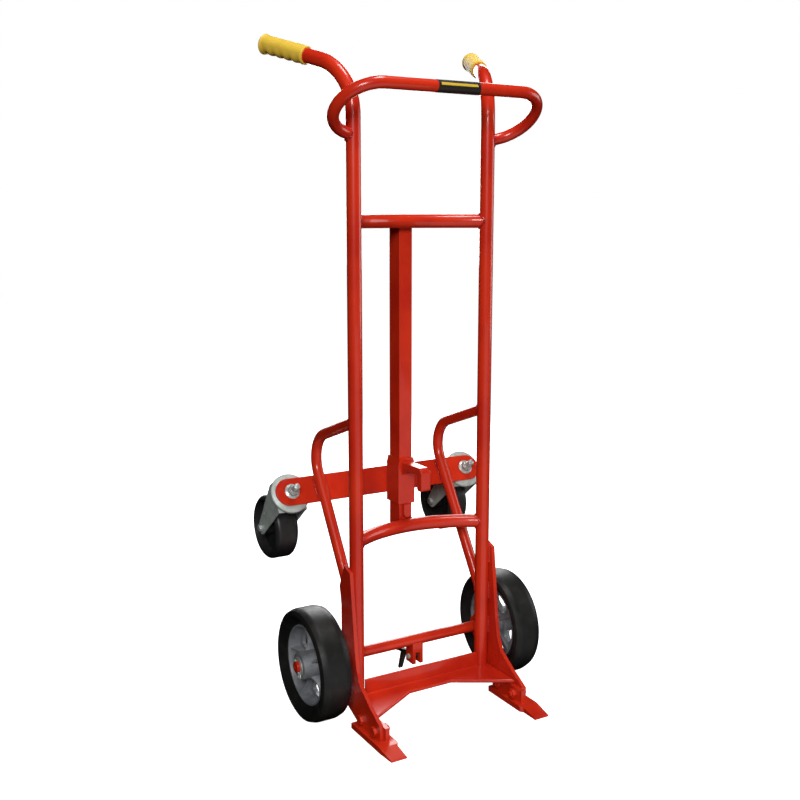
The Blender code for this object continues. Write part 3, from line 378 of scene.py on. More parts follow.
# ---------------------------------------------------------------- shader sums
class Wire:
    """A shader socket on which Python's operators add Math nodes."""

    def __init__(self, graph: "Graph", socket: bpy.types.NodeSocket) -> None:
        """Keeps the socket and the graph that it belongs to."""
        self.graph = graph
        self.socket = socket

    def _sum(self, operation: str, first: object, second: object = None) -> "Wire":
        """Adds one Math node and gives its result."""
        inputs = {0: first} if second is None else {0: first, 1: second}
        return self.graph.add("ShaderNodeMath", {"operation": operation}, inputs)

    def __add__(self, other: object) -> "Wire":
        """self + other."""
        return self._sum("ADD", self, other)

    __radd__ = __add__

    def __mul__(self, other: object) -> "Wire":
        """self * other."""
        return self._sum("MULTIPLY", self, other)

    __rmul__ = __mul__

    def __sub__(self, other: object) -> "Wire":
        """self - other."""
        return self._sum("SUBTRACT", self, other)

    def __rsub__(self, other: object) -> "Wire":
        """other - self."""
        return self._sum("SUBTRACT", other, self)

    def __pow__(self, other: object) -> "Wire":
        """self to a power."""
        return self._sum("POWER", self, other)

    def __gt__(self, other: object) -> "Wire":
        """One where self is above other, nought elsewhere."""
        return self._sum("GREATER_THAN", self, other)

    def sine(self) -> "Wire":
        """Sine of the value, in radians."""
        return self._sum("SINE", self)

    def ramp(self, low: float, high: float) -> "Wire":
        """Nought below low, one above high, and a smooth step between."""
        settings = {"interpolation_type": "SMOOTHSTEP"}
        return self.graph.add("ShaderNodeMapRange", settings, {0: self, 1: low, 2: high})


class Graph:
    """The node tree of one material, with its Principled shader."""

    def __init__(self, name: str) -> None:
        """Makes a material with nothing but an output and a Principled shader."""
        self.material = bpy.data.materials.new(name)
        self.material.use_nodes = True
        self.tree = self.material.node_tree
        self.shader = self.tree.nodes["Principled BSDF"]
        self.place = self.add("ShaderNodeTexCoord", {}, {}, "Object")

    def add(self, kind: str, settings: dict, inputs: dict, output: str | int = 0) -> Wire:
        """Adds any node.

        Args:
            kind: The node's type.
            settings: Its own settings, set before its sockets.
            inputs: Socket name or number, and a value or a Wire.
            output: Name or number of the socket to give back.

        Returns:
            The chosen output.
        """
        node = self.tree.nodes.new(kind)
        for key, value in settings.items():
            setattr(node, key, value)
        for key, value in inputs.items():
            self.put(node.inputs[key], value)
        return Wire(self, node.outputs[output])

    def put(self, socket: bpy.types.NodeSocket, value: object) -> None:
        """Links a Wire to a socket, or sets the socket's own value.

        Args:
            socket: The input to feed.
            value: A Wire, or a value that the socket takes.
        """
        if isinstance(value, Wire):
            self.tree.links.new(value.socket, socket)
        else:
            socket.default_value = value

    def noise(self, scale: float, detail: float = 2.0) -> Wire:
        """Noise on Object coordinates.

        Args:
            scale: Cells a metre.
            detail: Octaves of finer noise.

        Returns:
            The noise, from nought to one.
        """
        inputs = {"Vector": self.place, "Scale": scale, "Detail": detail}
        return self.add("ShaderNodeTexNoise", {}, inputs, "Fac")

    def parts(self) -> tuple[Wire, Wire, Wire]:
        """The Object coordinate's X, Y and Z."""
        node = self.tree.nodes.new("ShaderNodeSeparateXYZ")
        self.put(node.inputs[0], self.place)
        return tuple(Wire(self, socket) for socket in node.outputs)

    def blend(self, factor: Wire, first: Triple, second: Triple) -> Wire:
        """Colour from first to second as the factor goes from nought to one.

        Args:
            factor: The share of the second colour.
            first: Colour at nought.
            second: Colour at one.

        Returns:
            The mixed colour.
        """
        node = self.tree.nodes.new("ShaderNodeMix")
        node.data_type = "RGBA"
        colours = [socket for socket in node.inputs if socket.type == "RGBA"]
        self.put(node.inputs[0], factor)
        self.put(colours[0], rgba(first))
        self.put(colours[1], rgba(second))
        return Wire(self, [socket for socket in node.outputs if socket.type == "RGBA"][0])

    def bump(self, height: Wire, distance: float, strength: float = 1.0) -> None:
        """Feeds a height, in units of the distance, to the shader's normal."""
        inputs = {"Height": height, "Distance": distance, "Strength": strength}
        self.put(self.shader.inputs["Normal"],
                 self.add("ShaderNodeBump", {}, inputs, "Normal"))

    def dress(self, **values: object) -> None:
        """Sets the shader's sockets, named with underscores for spaces."""
        for key, value in values.items():
            self.put(self.shader.inputs[key.replace("_", " ")], rgba(value))


def rgba(value: object) -> object:
    """A colour of three numbers with its alpha added; anything else as it is."""
    if isinstance(value, tuple) and len(value) == 3:
        return (*value, 1.0)
    return value


# ---------------------------------------------------------------- finishes
class Finish(enum.Enum):
    """The surface finishes, by the record's material slot and a variant."""

    RED = "red_paint"
    WELD = "red_paint:weld"
    YELLOW = "yellow_grip"
    BAND = "yellow_grip:band"
    TYRE = "tyre_rubber"
    HUB = "cast_hub"
    ZINC = "zinc"
    BRIGHT = "zinc:bright"
    BRONZE = "bronze"
    STEEL = "black_steel"
    POLYMER = "black_polymer"

    @property
    def slot(self) -> str:
        """The record's material slot."""
        return self.value.split(":")[0]


@dataclass(frozen=True)
class RedEnamel:
    """Gloss red enamel: faint orange peel, a little mottling and a duller film in places."""

    light: Triple = (0.640, 0.030, 0.008)
    deep: Triple = (0.520, 0.018, 0.006)
    spatter: float = 0.0

    def make(self, name: str) -> bpy.types.Material:
        """Builds the material; welds have coarser ripples and spatter.

        Args:
            name: The material's name.

        Returns:
            The material.
        """
        graph = Graph(name)
        cloud = graph.noise(9.0, 4.0).ramp(0.35, 0.70)
        film = graph.noise(60.0, 3.0)
        graph.dress(Base_Color=graph.blend(cloud, self.light, self.deep),
                    Roughness=0.26 + 0.14 * film, Specular_IOR_Level=0.22,
                    Coat_Weight=0.55, Coat_Roughness=0.05, Coat_IOR=1.42)
        peel = graph.noise(420.0, 2.0) + self.spatter * graph.noise(230.0, 4.0)
        graph.bump(peel, 0.00012 + 0.0006 * self.spatter)
        return graph.material


@dataclass(frozen=True)
class YellowVinyl:
    """Dip-moulded yellow vinyl, slightly soiled, with a fine matt grain."""

    clean: Triple = (0.840, 0.560, 0.060)
    soiled: Triple = (0.720, 0.450, 0.050)

    def make(self, name: str) -> bpy.types.Material:
        """Builds the material.

        Args:
            name: The material's name.

        Returns:
            The material.
        """
        graph = Graph(name)
        soil = graph.noise(30.0, 5.0).ramp(0.45, 0.85)
        graph.dress(Base_Color=graph.blend(soil, self.clean, self.soiled),
                    Roughness=0.50 + 0.16 * graph.noise(180.0, 3.0), Specular_IOR_Level=0.3)
        graph.bump(graph.noise(900.0, 2.0), 0.00008)
        return graph.material


@dataclass(frozen=True)
class BandFilm:
    """Plain printed film: one yellow stripe along a dark field, with no lettering."""

    dark: Triple = (0.022, 0.016, 0.012)
    yellow: Triple = (0.640, 0.430, 0.040)
    along: Pair = (-0.041, 0.047)
    above: Pair = (1.3712, 1.3765)

    def make(self, name: str) -> bpy.types.Material:
        """Builds the material: yellow inside limits along X and up Z, dark elsewhere.

        Args:
            name: The material's name.

        Returns:
            The material.
        """
        graph = Graph(name)
        x, _, z = graph.parts()
        inside = (x > self.along[0]) * (1.0 - (x > self.along[1]))
        inside = inside * (z > self.above[0]) * (1.0 - (z > self.above[1]))
        graph.dress(Base_Color=graph.blend(inside, self.dark, self.yellow),
                    Roughness=0.30 + 0.10 * graph.noise(120.0, 2.0), Specular_IOR_Level=0.45)
        graph.bump(graph.noise(300.0, 2.0), 0.00008)
        return graph.material


@dataclass(frozen=True)
class TyreRubber:
    """Smooth black rubber: dusty film, fine grain and faint moulding rings round the axle."""

    clean: Triple = (0.0085, 0.0082, 0.0078)
    dusty: Triple = (0.0165, 0.0155, 0.0140)
    axle_y: float = 0.0
    axle_z: float = 0.127

    def make(self, name: str) -> bpy.types.Material:
        """Builds the material; the rings follow the distance from the axle.

        Args:
            name: The material's name.

        Returns:
            The material.
        """
        graph = Graph(name)
        _, y, z = graph.parts()
        reach = ((y - self.axle_y) ** 2.0 + (z - self.axle_z) ** 2.0) ** 0.5
        rings = (reach * 1570.0).sine()
        dust = graph.noise(38.0, 5.0).ramp(0.42, 0.78)
        graph.dress(Base_Color=graph.blend(dust, self.clean, self.dusty),
                    Roughness=0.34 + 0.20 * graph.noise(90.0, 4.0), Specular_IOR_Level=0.24)
        graph.bump(graph.noise(700.0, 3.0) + 0.35 * rings, 0.00018)
        return graph.material


@dataclass(frozen=True)
class Metal:
    """Cast, plated or bare metal with mottling, fine grain and a duller bloom."""

    light: Triple
    dark: Triple
    metallic: float
    roughness: float
    spread: float
    grain: float
    depth: float
    cloud: float = 40.0

    def make(self, name: str) -> bpy.types.Material:
        """Builds the material.

        Args:
            name: The material's name.

        Returns:
            The material.
        """
        graph = Graph(name)
        bloom = graph.noise(self.cloud, 5.0).ramp(0.34, 0.72)
        graph.dress(Base_Color=graph.blend(bloom, self.light, self.dark), Metallic=self.metallic,
                    Roughness=self.roughness + self.spread * graph.noise(3.0 * self.cloud, 3.0))
        graph.bump(graph.noise(self.grain, 4.0), self.depth)
        return graph.material


class Paintbox:
    """Every finish as one material, made when the first piece asks for it."""

    def __init__(self, axle_y: float, axle_z: float) -> None:
        """Sets out the recipes; the tyre's rings need the axle's place."""
        self.recipes = {
            Finish.RED: RedEnamel(),
            Finish.WELD: RedEnamel(light=(0.53, 0.017, 0.008), deep=(0.30, 0.008, 0.006),
                                   spatter=1.0),
            Finish.YELLOW: YellowVinyl(),
            Finish.BAND: BandFilm(),
            Finish.TYRE: TyreRubber(axle_y=axle_y, axle_z=axle_z),
            Finish.HUB: Metal((0.290, 0.300, 0.320), (0.180, 0.187, 0.200), metallic=0.35,
                              roughness=0.40, spread=0.20, grain=520.0, depth=0.00045),
            Finish.ZINC: Metal((0.580, 0.630, 0.595), (0.450, 0.490, 0.460), metallic=0.25,
                               roughness=0.40, spread=0.20, grain=800.0, depth=0.00010, cloud=60.0),
            Finish.BRIGHT: Metal((0.56, 0.60, 0.58), (0.34, 0.36, 0.34), metallic=0.45,
                                 roughness=0.30, spread=0.16, grain=900.0, depth=0.00008,
                                 cloud=90.0),
            Finish.BRONZE: Metal((0.52, 0.42, 0.20), (0.22, 0.17, 0.08), metallic=0.85,
                                 roughness=0.34, spread=0.20, grain=700.0, depth=0.00010),
            Finish.STEEL: Metal((0.050, 0.036, 0.032), (0.020, 0.016, 0.015), metallic=0.35,
                                roughness=0.42, spread=0.20, grain=450.0, depth=0.00025),
            Finish.POLYMER: Metal((0.0100, 0.0100, 0.0105), (0.0180, 0.0176, 0.0176), metallic=0.0,
                                  roughness=0.34, spread=0.20, grain=600.0, depth=0.00012),
        }
        self.made: dict[Finish, bpy.types.Material] = {}

    def material(self, finish: Finish) -> bpy.types.Material:
        """The material of a finish."""
        if finish not in self.made:
            self.made[finish] = self.recipes[finish].make(finish.value.replace(":", "_"))
        return self.made[finish]


class Workshop:
    """Hands each finished piece to its body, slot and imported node."""

    def __init__(self, paints: Paintbox) -> None:
        """Keeps the paints and counts the pieces."""
        self.paints = paints
        self.pieces = 0

    def deliver(self, piece: bpy.types.Object, finish: Finish, body: str, *nodes: str) -> None:
        """Paints a piece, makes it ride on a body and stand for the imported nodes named.

        Args:
            piece: The finished object.
            finish: Its finish, which also names its material slot.
            body: The body that it moves with.
            nodes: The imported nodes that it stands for.
        """
        piece.data.materials.clear()
        piece.data.materials.append(self.paints.material(finish))
        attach(piece, body)
        if nodes:
            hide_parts(*nodes)
        self.pieces += 1
        LOG.info("piece %s rides on %s", piece.name, body)

    def soften(self, node: str, finish: Finish, body: str, width: float) -> None:
        """Replaces a packed plate with its softened copy."""
        self.deliver(softened(node, width), finish, body, node)


# ---------------------------------------------------------------- the tube frame
@dataclass
class TubeFrame:
    """Rails, loop handle, cross tubes, centre post and struts, with the welds between them."""

    shop: Workshop
    shift: float
    rail_r: float = RAIL_R
    rail_x: float = 0.1675
    bend_z: float = 1.320
    bend_r: float = 0.120
    turn: float = math.radians(74.0)
    splay: float = math.radians(24.5)
    neck: float = 0.036
    grip_length: float = 0.125
    grip_r: float = 0.0186
    loop_r: float = 0.0127
    loop_z: float = 1.280
    loop_tilt: float = math.radians(54.5)
    loop_bend_r: float = 0.0775
    loop_inset: float = 0.006
    cross_r: float = 0.0155
    cross_bow: float = 0.0565
    cross_z: Pair = (1.104, 0.407)
    strut_r: float = 0.0127
    strut_top_z: float = 0.678
    strut_corner_y: float = 0.2336
    strut_slope: float = math.radians(19.5)
    strut_lean: float = math.radians(32.5)
    strut_bend_r: float = 0.067
    band: Pair = (-0.047, 0.054)
    bead: float = 0.0026
    bar_thick: float = BAR_THICK

    @property
    def bend_rise(self) -> float:
        """From the bend's start up to where the rail's two straight lines would meet."""
        return self.bend_r * math.tan(self.turn / 2.0)

    @property
    def loop_down(self) -> np.ndarray:
        """Direction down the loop's leaning plane, to the rear."""
        return leaning(self.loop_tilt) * np.array([1.0, -1.0, 1.0])

    def place(self, x: float, y: float, z: float) -> np.ndarray:
        """A point given from the floor midway between the rails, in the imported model's place."""
        return np.array([x, y + self.shift, z])

    def heading(self, side: float) -> np.ndarray:
        """Direction of a handle's straight end, out and to the rear."""
        flat = math.sin(self.turn)
        return np.array([side * flat * math.sin(self.splay), flat * math.cos(self.splay),
                         math.cos(self.turn)])

    def grip_start(self, side: float) -> np.ndarray:
        """Where a grip begins on its handle."""
        corner = self.place(side * self.rail_x, 0.0, self.bend_z + self.bend_rise)
        return corner + self.heading(side) * (self.bend_rise + self.neck)

    def build_rails(self) -> None:
        """Each rail: a circle carried up a straight line and round the handle bend."""
        for word, side in SIDES:
            foot = self.place(side * self.rail_x, 0.0, float(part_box(f"rail_{word}")[0].z))
            corner = self.place(side * self.rail_x, 0.0, self.bend_z + self.bend_rise)
            end = self.grip_start(side) + self.heading(side) * (self.grip_length - 0.008)
            normal = np.array([side * math.cos(self.splay), -math.sin(self.splay), 0.0])
            path = rounded_corners([foot, corner, end], [0.0, self.bend_r, 0.0], 28)
            shell = Shell().carry(path, self.rail_r, normal, 48)
            self.shop.deliver(shell.build(f"rail_tube_{word}"), Finish.RED, "frame", f"rail_{word}")

    def build_grips(self) -> None:
        """Each grip: a tube whose radius swells between fingers on its underside.

        The radius is the sleeve's plus a rounded start, a flare at the end and four finger
        swells, each a raised cosine along the grip times how far the surface faces down.
        """
        rows, sides = 97, 48
        share = np.linspace(0.0, 1.0, rows)
        angle = np.linspace(0.0, TAU, sides, endpoint=False)
        start = 1.0 - 0.07 * np.exp(-share / 0.012)
        flare = 0.0020 * np.exp(-((share - 0.965) / 0.022) ** 2)
        dome = np.sqrt(np.clip(1.0 - ((share - 0.965) / 0.035).clip(0.0, 1.0) ** 4, 0.0, 1.0))
        fingers = 0.5 - 0.5 * np.cos(TAU * 4.0 * (share - 0.10) / 0.76)
        fingers = fingers * ((share > 0.10) & (share < 0.86))
        under = np.clip(-np.sin(angle), 0.0, 1.0) ** 0.8
        groove = 0.0017 * (1.0 - fingers)[:, None] * under[None] * (
            (share > 0.06) & (share < 0.90))[:, None]
        radius = (self.grip_r * start * (0.55 + 0.45 * dome) + flare)[:, None] + 0.0012 - groove
        for word, side in SIDES:
            profile = np.stack([share * self.grip_length, np.ones(rows)], axis=1)
            shell = Shell().turn(profile, self.grip_start(side), self.heading(side), sides,
                                 False, radius)
            self.shop.deliver(shell.build(f"grip_sleeve_{word}", 50.0), Finish.YELLOW, "frame",
                              f"grip_{word}")

    def loop_points(self) -> np.ndarray:
        """Centre line of the loop handle: a bar with a half circle at each end, in one plane."""
        low = self.place(0.0, 0.0, self.loop_z)
        high = low - 2.0 * self.loop_bend_r * self.loop_down
        half = self.rail_x - self.loop_inset
        reach = half + self.loop_bend_r
        corners = [low + X_AXIS * half, low + X_AXIS * reach, high + X_AXIS * reach,
                   high - X_AXIS * reach, low - X_AXIS * reach, low - X_AXIS * half]
        bend = self.loop_bend_r
        return rounded_corners(corners, [0.0, bend, bend, bend, bend, 0.0], 24)

    def build_loop(self) -> None:
        """The loop handle and the plain band of film round its bar."""
        normal = np.cross(X_AXIS, self.loop_down)
        path = self.loop_points()
        shell = Shell().carry(path, self.loop_r, normal, 44)
        self.shop.deliver(shell.build("loop_tube"), Finish.RED, "frame", "loop_handle")
        bar = path[np.argmax(path[:, 2])]
        film, under = self.loop_r + FIT, self.loop_r - 0.001
        edge = np.array([[self.band[0], under], [self.band[0], film],
                         [self.band[1], film], [self.band[1], under]])
        middle = np.array([0.0, bar[1], bar[2]])
        band = Shell().turn(edge, middle, X_AXIS, 56, True)
        self.shop.deliver(band.build("loop_band"), Finish.BAND, "frame")
        rings = Shell()
        for _, side in SIDES:
            self.weld(rings, self.place(side * self.rail_x, 0.0, self.loop_z),
                      side * X_AXIS, self.loop_r, side)
        self.shop.deliver(rings.build("loop_welds"), Finish.WELD, "frame")

    def weld(self, shell: Shell, root: np.ndarray, away: np.ndarray, radius: float,
             side: float) -> None:
        """Adds a bead round the curve where a tube leaves an upright rail.

        A point of the tube's skin is the root plus radius times a circle about its direction.
        It slides along that direction until its level distance from the rail's axis is the
        rail's radius, which is the outer root of a square equation.  The bead's radius ripples
        with the angle, as a hand-laid weld does.

        Args:
            shell: The shell that takes the bead.
            root: Where the tube's centre line meets the rail's.
            away: The way that the tube leaves the rail.
            radius: The tube's radius.
            side: -1 for the left rail and 1 for the right.
        """
        angle = np.linspace(0.0, TAU, 72, endpoint=False)
        across, upward, along = basis_of(away)
        ring = radius * (np.cos(angle)[:, None] * across + np.sin(angle)[:, None] * upward)
        axis = np.array([side * self.rail_x, self.shift])
        flat = (root + ring)[:, :2] - axis
        slope = along[:2]
        a = slope @ slope
        b = 2.0 * flat @ slope
        c = np.sum(flat ** 2, axis=1) - self.rail_r ** 2
        slide = (-b + np.sqrt(np.maximum(b * b - 4.0 * a * c, 0.0))) / (2.0 * a)
        curve = root + ring + slide[:, None] * along
        size = rippled(angle, self.bead, (0.14, 23.0), (0.07, 9.0), thinned=False)
        shell.carry(curve, size, unit(ring), 10, True)

    def build_cross_tubes(self) -> None:
        """Bowed tubes: a circle carried along an arc of the radius that its bow gives."""
        radius = (self.rail_x ** 2 + self.cross_bow ** 2) / (2.0 * self.cross_bow)
        reach = math.asin(self.rail_x / radius)
        angle = np.linspace(-reach, reach, 49)
        away = np.array([-math.cos(reach), math.sin(reach), 0.0])
        for word, height in zip(("upper", "lower"), self.cross_z):
            path = np.stack([radius * np.sin(angle),
                             self.shift + self.cross_bow - radius * (1.0 - np.cos(angle)),
                             np.full(angle.shape, height)], axis=1)
            shell = Shell().carry(path, self.cross_r, Z_AXIS, 48)
            self.shop.deliver(shell.build(f"{word}_bowed_tube"), Finish.RED, "frame",
                              f"{word}_cross_tube")
            rings = Shell()
            for _, side in SIDES:
                self.weld(rings, self.place(side * self.rail_x, 0.0, height),
                          away * np.array([side, 1.0, 1.0]), self.cross_r, side)
            self.shop.deliver(rings.build(f"{word}_tube_welds"), Finish.WELD, "frame")

    def build_struts(self) -> None:
        """Each strut: a circle carried down a sloping leg, round a bend and back to the rail."""
        fall = self.strut_corner_y * math.tan(self.strut_slope)
        down = leaning(self.strut_lean)
        for word, side in SIDES:
            top = self.place(side * self.rail_x, 0.0, self.strut_top_z)
            corner = self.place(side * self.rail_x, self.strut_corner_y, self.strut_top_z - fall)
            foot = corner + down * self.strut_corner_y / math.sin(self.strut_lean)
            path = rounded_corners([top, corner, foot], [0.0, self.strut_bend_r, 0.0], 24)
            shell = Shell().carry(path, self.strut_r, X_AXIS, 44)
            self.shop.deliver(shell.build(f"strut_tube_{word}"), Finish.RED, "frame",
                              f"strut_{word}")
            rings = Shell()
            self.weld(rings, top, unit(corner - top), self.strut_r, side)
            self.weld(rings, foot, -down, self.strut_r, side)
            self.shop.deliver(rings.build(f"strut_welds_{word}"), Finish.WELD, "frame")

    def build_bar_welds(self) -> None:
        """Short ripples of weld down both sides of each strut where it lies on the caster bar."""
        down = leaning(self.strut_lean)
        back = np.array([0.0, math.cos(self.strut_lean), -math.sin(self.strut_lean)])
        middle = centre_of("caster_bar") - back * (self.bar_thick / 2.0 + 0.0001)
        rings = Shell()
        run = np.linspace(-0.024, 0.024, 45)
        size = rippled(run, 0.0030, (0.16, 900.0), (0.08, 340.0))
        for _, side in SIDES:
            for edge in (-1.0, 1.0):
                x = side * self.rail_x + edge * 0.0105
                line = np.array([x, middle[1], middle[2]]) - run[:, None] * down
                rings.carry(line, size, X_AXIS, 10)
        self.shop.deliver(rings.build("caster_bar_welds"), Finish.WELD, "frame")

    def build_post(self) -> None:
        """The centre post with its rounded edges, and the beads that hold it to the tubes."""
        self.shop.soften("centre_post", Finish.RED, "frame", 0.0030)
        low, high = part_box("centre_post")
        front = float(low.y)
        rings = Shell()
        run = np.linspace(-0.013, 0.013, 31)
        size = rippled(run, 0.0023, (0.16, 1300.0), thinned=False)
        for height in self.cross_z:
            for edge in (-1.0, 1.0):
                x = edge * float(high.x)
                line = np.stack([np.full(run.shape, x), front - 0.0002 + 9.0 * run ** 2,
                                 height + run], axis=1)
                rings.carry(line, size, X_AXIS, 10)
        self.shop.deliver(rings.build("post_welds"), Finish.WELD, "frame")

    def build(self) -> None:
        """Makes the whole tube frame."""
        self.build_rails()
        self.build_grips()
        self.build_loop()
        self.build_cross_tubes()
        self.build_struts()
        self.build_bar_welds()
        self.build_post()


# ---------------------------------------------------------------- plates, toes and their bolts
@dataclass
class ToePlates:
    """Side plates, toe cross plate, forged toes and the bolts that hold them together."""

    shop: Workshop
    plate_edge: float = 0.0014
    toe_edge: float = 0.0022
    hex_half: float = 0.0095
    bolt_r: float = 0.00635
    head: float = 0.008
    stitches: Triple = (0.325, 0.235, 0.150)

    def build(self) -> None:
        """Softens the plates and turns the bolts and nuts."""
        for word, _ in SIDES:
            self.shop.soften(f"side_plate_{word}", Finish.RED, "frame", self.plate_edge)
            self.shop.soften(f"toe_{word}", Finish.RED, "frame", self.toe_edge)
        self.shop.soften("toe_cross_plate", Finish.RED, "frame", self.toe_edge)
        for word, side in SIDES:
            for end in ("rear", "front"):
                self.build_bolt(word, side, end)
            self.build_plate_weld(word, side)

    def build_bolt(self, word: str, side: float, end: str) -> None:
        """A hexagon bolt with its shank, and its nut: hexagons cut by cones, and a turned shank.

        Args:
            word: left or right.
            side: -1 for the left and 1 for the right.
            end: rear or front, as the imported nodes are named.
        """
        node = f"toe_bolt_{word}_{end}"
        low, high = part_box(node)
        inner, outer = sorted((abs(low.x), abs(high.x)))
        centre = centre_of(node) * np.array([0.0, 1.0, 1.0])
        out = side * X_AXIS
        bolt = Shell()
        bolt.add_hexagon(outer - self.head, outer, self.hex_half, centre, out)
        shank = np.array([[inner, self.bolt_r * 0.8], [inner + 0.0012, self.bolt_r],
                          [outer - self.head / 2.0, self.bolt_r]])
        bolt.turn(shank, centre, out, 40)
        self.shop.deliver(bolt.build(f"toe_bolt_turned_{word}_{end}", 24.0), Finish.RED, "frame",
                          node)
        node = f"toe_nut_{word}_{end}"
        low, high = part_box(node)
        near, far = sorted((abs(low.x), abs(high.x)))
        nut = Shell().add_hexagon(near, far, self.hex_half, centre, out, self.bolt_r)
        self.shop.deliver(nut.build(f"toe_nut_turned_{word}_{end}", 24.0), Finish.RED, "frame",
                          node)

    def build_plate_weld(self, word: str, side: float) -> None:
        """Stitches of weld where a rail lies against its side plate.

        Args:
            word: left or right.
            side: -1 for the left and 1 for the right.
        """
        low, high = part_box(f"side_plate_{word}")
        x = side * (min(abs(low.x), abs(high.x)) - 0.0012)
        y = rail_axis(word) - 0.0085
        rings = Shell()
        run = np.linspace(-0.022, 0.022, 41)
        size = rippled(run, 0.0027, (0.15, 1000.0))
        for height in self.stitches:
            line = np.stack([np.full(run.shape, x), np.full(run.shape, y), height + run], axis=1)
            rings.carry(line, size, X_AXIS, 10)
        self.shop.deliver(rings.build(f"plate_welds_{word}"), Finish.WELD, "frame")


# ---------------------------------------------------------------- main wheels
@dataclass
class MainWheel:
    """One main wheel: tyre, cast hub with five spokes, bush, washer, spacer and split pin."""

    shop: Workshop
    word: str
    side: float
    centre: np.ndarray
    axle_r: float = 0.0127
    tyre_r: float = 0.127
    tyre_half: float = 0.0375
    bead_half: float = 0.0215
    rim_r: float = 0.0903
    rim_wall: float = 0.0055
    rim_out: float = 0.0228
    rim_in: float = 0.0225
    web_out: float = -0.004
    web_in: float = -0.012
    boss_r: float = 0.031
    boss_half: float = 0.0357
    bush_r: float = 0.0187
    windows: int = 5
    first_window: float = math.radians(42.0)
    window_inner: float = 0.042
    window_outer: float = 0.076
    rib_dip: float = 0.46
    rib_low: float = 0.0090
    rib_rise: Pair = (0.0180, 0.0115)
    pin_angle: float = math.radians(-125.0)
    pin_r: float = 0.0019
    eye_r: float = 0.0055
    eye_gap: float = 0.004

    @property
    def out(self) -> np.ndarray:
        """Direction from the truck's middle to this wheel."""
        return self.side * X_AXIS

    @property
    def body(self) -> str:
        """The body that the wheel's pieces ride on."""
        return f"wheel_{self.word}"

    def build_tyre(self) -> None:
        """The tyre: a rounded closed section turned about the axle.

        The section runs from the beads out over dished sidewalls to a flat tread with large
        shoulders, with a shallow moulding ridge on each shoulder.
        """
        corners = [(self.bead_half, self.rim_r), (self.tyre_half - 0.0010, 0.1110),
                   (self.tyre_half, 0.1145), (0.0335, 0.1215), (0.0325, 0.1228),
                   (0.0200, self.tyre_r), (-0.0200, self.tyre_r), (-0.0325, 0.1228),
                   (-0.0335, 0.1215), (-self.tyre_half, 0.1145), (0.0010 - self.tyre_half, 0.1110),
                   (-self.bead_half, self.rim_r)]
        radii = [0.0015, 0.007, 0.005, 0.0006, 0.0006, 0.022, 0.022, 0.0006, 0.0006, 0.005, 0.007,
                 0.0015]
        section = rounded_corners(np.array(corners), radii, 6, True)
        shell = Shell().turn(section, self.centre, self.out, 128, True)
        self.shop.deliver(shell.build(f"tyre_turned_{self.word}", 60.0), Finish.TYRE, self.body,
                          f"tyre_{self.word}")

    def spoke_frame(self, angle: float) -> np.ndarray:
        """Directions at one spoke.

        Args:
            angle: The spoke's angle, from +Y towards +Z.

        Returns:
            Rows (3, 3): outwards from the axle, sideways, and outboard.
        """
        radial = np.array([0.0, math.cos(angle), math.sin(angle)])
        sideways = np.array([0.0, -math.sin(angle), math.cos(angle)])
        return np.stack([radial, sideways, self.out])

    def build_hub(self) -> None:
        """The casting: rim and boss turned, a web with rounded windows, and a star of ribs.

        The web is one sector a spoke.  Its half angle is 12 degrees at the windows' middle and
        grows with the sixth power of the distance from there to a full 36 degrees at their ends,
        which closes the ring and rounds the windows.  A rib is a tapered section carried
        outwards, whose height falls from the boss and rises again to the rim.
        """
        inner = self.rim_r - self.rim_wall
        rim = rounded_corners(np.array([
            (self.rim_out, inner + 0.0008), (self.rim_out, self.rim_r - FIT),
            (-self.rim_in, self.rim_r - FIT), (-self.rim_in, inner + 0.0008),
            (self.web_in, inner - 0.003), (self.web_out, inner - 0.003)]),
            [0.0022, 0.001, 0.001, 0.0015, 0.004, 0.004], 5, True)
        boss = rounded_corners(np.array([
            (self.boss_half, self.bush_r), (self.boss_half, self.boss_r - 0.0005),
            (self.web_out, self.boss_r + 0.003), (self.web_in, self.boss_r + 0.003),
            (-self.boss_half, self.boss_r - 0.0005), (-self.boss_half, self.bush_r)]),
            [0.0, 0.0025, 0.002, 0.002, 0.0025, 0.0], 5, True)
        shell = Shell()
        shell.turn(rim, self.centre, self.out, 120, True)
        shell.turn(boss, self.centre, self.out, 96, True)
        self.add_web(shell)
        self.add_ribs(shell)
        self.shop.deliver(shell.build(f"hub_cast_{self.word}"), Finish.HUB, self.body,
                          f"hub_{self.word}")

    def add_web(self, shell: Shell) -> None:
        """Adds the web's sectors, as rings of a box section that widens as build_hub says."""
        radius = np.linspace(self.boss_r - 0.002, self.rim_r - self.rim_wall + 0.002, 41)
        share = (radius - self.window_inner) / (self.window_outer - self.window_inner)
        away = np.clip(np.abs(2.0 * share - 1.0), 0.0, 1.0)
        half = math.radians(12.0) + math.radians(24.02) * away ** 6
        spread = np.linspace(-1.0, 1.0, 25)
        for number in range(self.windows):
            middle = self.first_window + TAU * (number + 0.5) / self.windows
            angle = middle + half[:, None] * spread[None]
            ring = radius[:, None, None] * np.stack(
                [np.zeros(angle.shape), np.cos(angle), np.sin(angle)], axis=-1)
            face = self.centre + ring + self.web_out * self.out
            back = self.centre + ring[:, ::-1] + self.web_in * self.out
            shell.add_grid(np.concatenate([face, back], axis=1))

